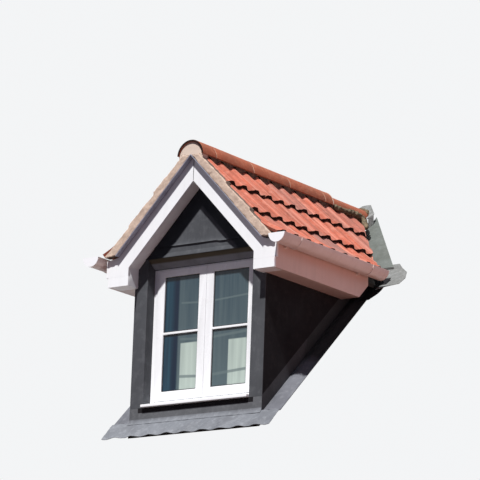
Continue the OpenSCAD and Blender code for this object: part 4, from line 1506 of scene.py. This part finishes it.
@dataclass
class FootSoaker(SubAssembly):
    """The lead soaker between each side flashing and the foot of its valley, near black with painted shade.
    """

    near_x: float = 0.60
    far_x: float = 0.788
    front_y: float = 1.02
    back_y: float = 1.23
    rise: float = 0.088
    taper: float = 0.16
    taper_reach: float = 0.45
    swell: float = 0.003
    thickness: float = 0.002

    def build(self) -> None:
        """Makes the soakers of both sides as one piece."""
        bm = bmesh.new()
        for side in Side:
            for vert in grid(bm, 24, 24):
                across, along = vert.co.x + 0.5, vert.co.y + 0.5
                outer = self.far_x - self.taper * max(0.0, self.taper_reach - along) ** 1.5
                x = between(self.near_x, outer, across)
                y = between(self.front_y, self.back_y, along)
                z = y * math.tan(SLOPE_PITCH) + self.rise + self.swell * ripple(x * 20.0, y * 20.0, 1.0)
                vert.co = (side.value * x, y, z)
        bmesh.ops.recalc_face_normals(bm, faces=bm.faces)
        thicken(bm, self.thickness)
        self.shop.place("foot_soakers", bm, (SHADE_LEAD,), "lead_dark")


@dataclass
class ValleyBedding(SubAssembly):
    """Mossy mortar under the cut tiles along both valleys and round the back end of the ridge."""

    tiles: TileCourses
    deck_z: float = 1.9265
    start_x: float = 0.10
    end_x: float = 0.645
    inset: float = 0.012
    below_tiles: float = 0.017
    off_deck: float = 0.001
    strip: float = 0.014
    lumps: tuple[tuple[float, float, float, float], ...] = (
        (0.108, 1.50, 1.922, 0.020), (0.110, 1.56, 1.922, 0.022), (0.110, 1.62, 1.922, 0.024),
        (0.111, 1.68, 1.923, 0.026), (0.112, 1.74, 1.924, 0.027), (0.112, 1.80, 1.922, 0.028),
        (0.112, 1.84, 1.916, 0.028), (0.130, 1.84, 1.896, 0.026), (0.160, 1.81, 1.866, 0.024),
        (0.195, 1.77, 1.834, 0.021), (0.235, 1.725, 1.798, 0.018),
    )
    per_stretch: int = 6
    wobble: float = 0.006
    arch: float = 0.094
    arch_y: float = 1.985
    arch_steps: int = 36
    arch_lump: tuple[float, float] = (0.013, 0.019)
    grain: float = 0.0055
    depth: float = 0.006
    scale: float = 42.0
    seed: int = 5

    def build(self) -> None:
        """Makes the bedding of both sides as one piece."""
        rough = bmesh.new()
        dice = random.Random(self.seed)
        for side in Side:
            self._strip(rough, side)
            self._bank(rough, side, dice)
        for step in range(self.arch_steps + 1):
            turn = math.pi * step / self.arch_steps
            y = self.arch_y + dice.uniform(-0.01, 0.01)
            middle = (self.arch * math.cos(turn), y, RIDGE_Z + self.arch * math.sin(turn))
            self._lump(rough, middle, dice.uniform(*self.arch_lump))
        whole = floated(rough, self.grain, self.depth, self.scale)
        self.shop.place("valley_bedding", whole, (MOSS,), "mortar", (), 60.0)

    @staticmethod
    def _lump(rough: Mesh, middle: Sequence[float], radius: float) -> None:
        """Adds one lump of mortar."""
        bmesh.ops.create_icosphere(rough, subdivisions=2, radius=radius, matrix=Matrix.Translation(middle))

    def _bank(self, rough: Mesh, side: Side, dice: random.Random) -> None:
        """Adds the bank of lumps beside the ridge and down into the head of the valley.

        Args:
            rough: the shape that grows.
            side: the slope.
            dice: the source of the lumps' small differences.
        """
        for first, second in zip(self.lumps, self.lumps[1:]):
            for step in range(self.per_stretch):
                share = step / self.per_stretch
                x, y, z, radius = (between(*ends, share) for ends in zip(first, second))
                x += dice.uniform(-self.wobble, self.wobble)
                z += dice.uniform(-self.wobble, 0.004)
                self._lump(rough, (side.value * x, y, z), radius * dice.uniform(0.75, 1.05))

    def _strip(self, rough: Mesh, side: Side) -> None:
        """Adds the strip under the cut edges of the tiles on one side.

        Args:
            rough: the shape that grows.
            side: the slope.
        """
        verts = grid(rough, 90, 3)
        for vert in verts:
            x = between(self.start_x, self.end_x, vert.co.x + 0.5)
            y = self.tiles.valley_y - self.tiles.valley_fall * x - self.inset
            fall = x * math.tan(ROOF_PITCH)
            low = self.deck_z + self.off_deck - fall
            under = (self.tiles.height(y) - self.below_tiles) / math.cos(ROOF_PITCH)
            high = self.tiles.crest_z + under - fall
            vert.co = (side.value * x, y, between(low, high, vert.co.y + 0.5))
        faces = faces_of(verts)
        bmesh.ops.recalc_face_normals(rough, faces=faces)
        bmesh.ops.solidify(rough, geom=faces, thickness=self.strip)


def dress_nodes(shop: Shop) -> None:
    """Gives the CAD nodes that stay in view their finishes.

    Args:
        shop: the shop that dresses them.
    """
    shop.dress(RIDGE_BED, "ridge_mortar")
    shop.dress(CLOAK_SHADE, "undercloak")
    shop.dress(GUTTER_ROOF_GLOW, "gutter_left", "gutter_right", "gutter_brackets")
    shop.dress(GABLE_LEAD, "gable_lead_upper", "gable_lead_lower")
    shop.dress(LEAD, "front_lead_left", "front_lead_right")
    shop.dress(HEAD_LEAD_LIGHT_AND_SHADE, "head_flashing")
    shop.dress(SHADE_LEAD, "cheek_lead_left", "cheek_lead_right")
    shop.dress(WING_LEAD, "side_flashings")
    shop.dress(PALE_LEAD, "valley_saddles", "valley_feet")
    shop.dress(VALLEY, "valleys")
    shop.dress(LINING, "cheek_linings", "ceiling_lining")
    shop.dress(SHADE_TIMBER, "base_curb", "roof_deck")
    shop.dress(TIMBER, "front_wall", "cheek_wall_left", "cheek_wall_right", "rafters", "battens")
    shop.dress(Glass(), "glazing")


def main() -> None:
    """Builds the dressed dormer and the studio round it."""
    logging.basicConfig(level=logging.INFO, format="%(name)s: %(message)s")
    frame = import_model()
    shop = Shop(frame["nodes"])
    dress_nodes(shop)
    Viewpoint().build()
    Studio().build()
    tiles = TileCourses(shop)
    parts: tuple[SubAssembly, ...] = (
        tiles, Ridge(shop), VergeMortar(shop), Joinery(shop), Gaskets(shop), BargeMitre(shop),
        GableSheet(shop), Apron(shop), EavesFelt(shop), FootSoaker(shop), ValleyBedding(shop, tiles))
    for part in parts:
        part.build()


if __name__ == "__main__":
    main()
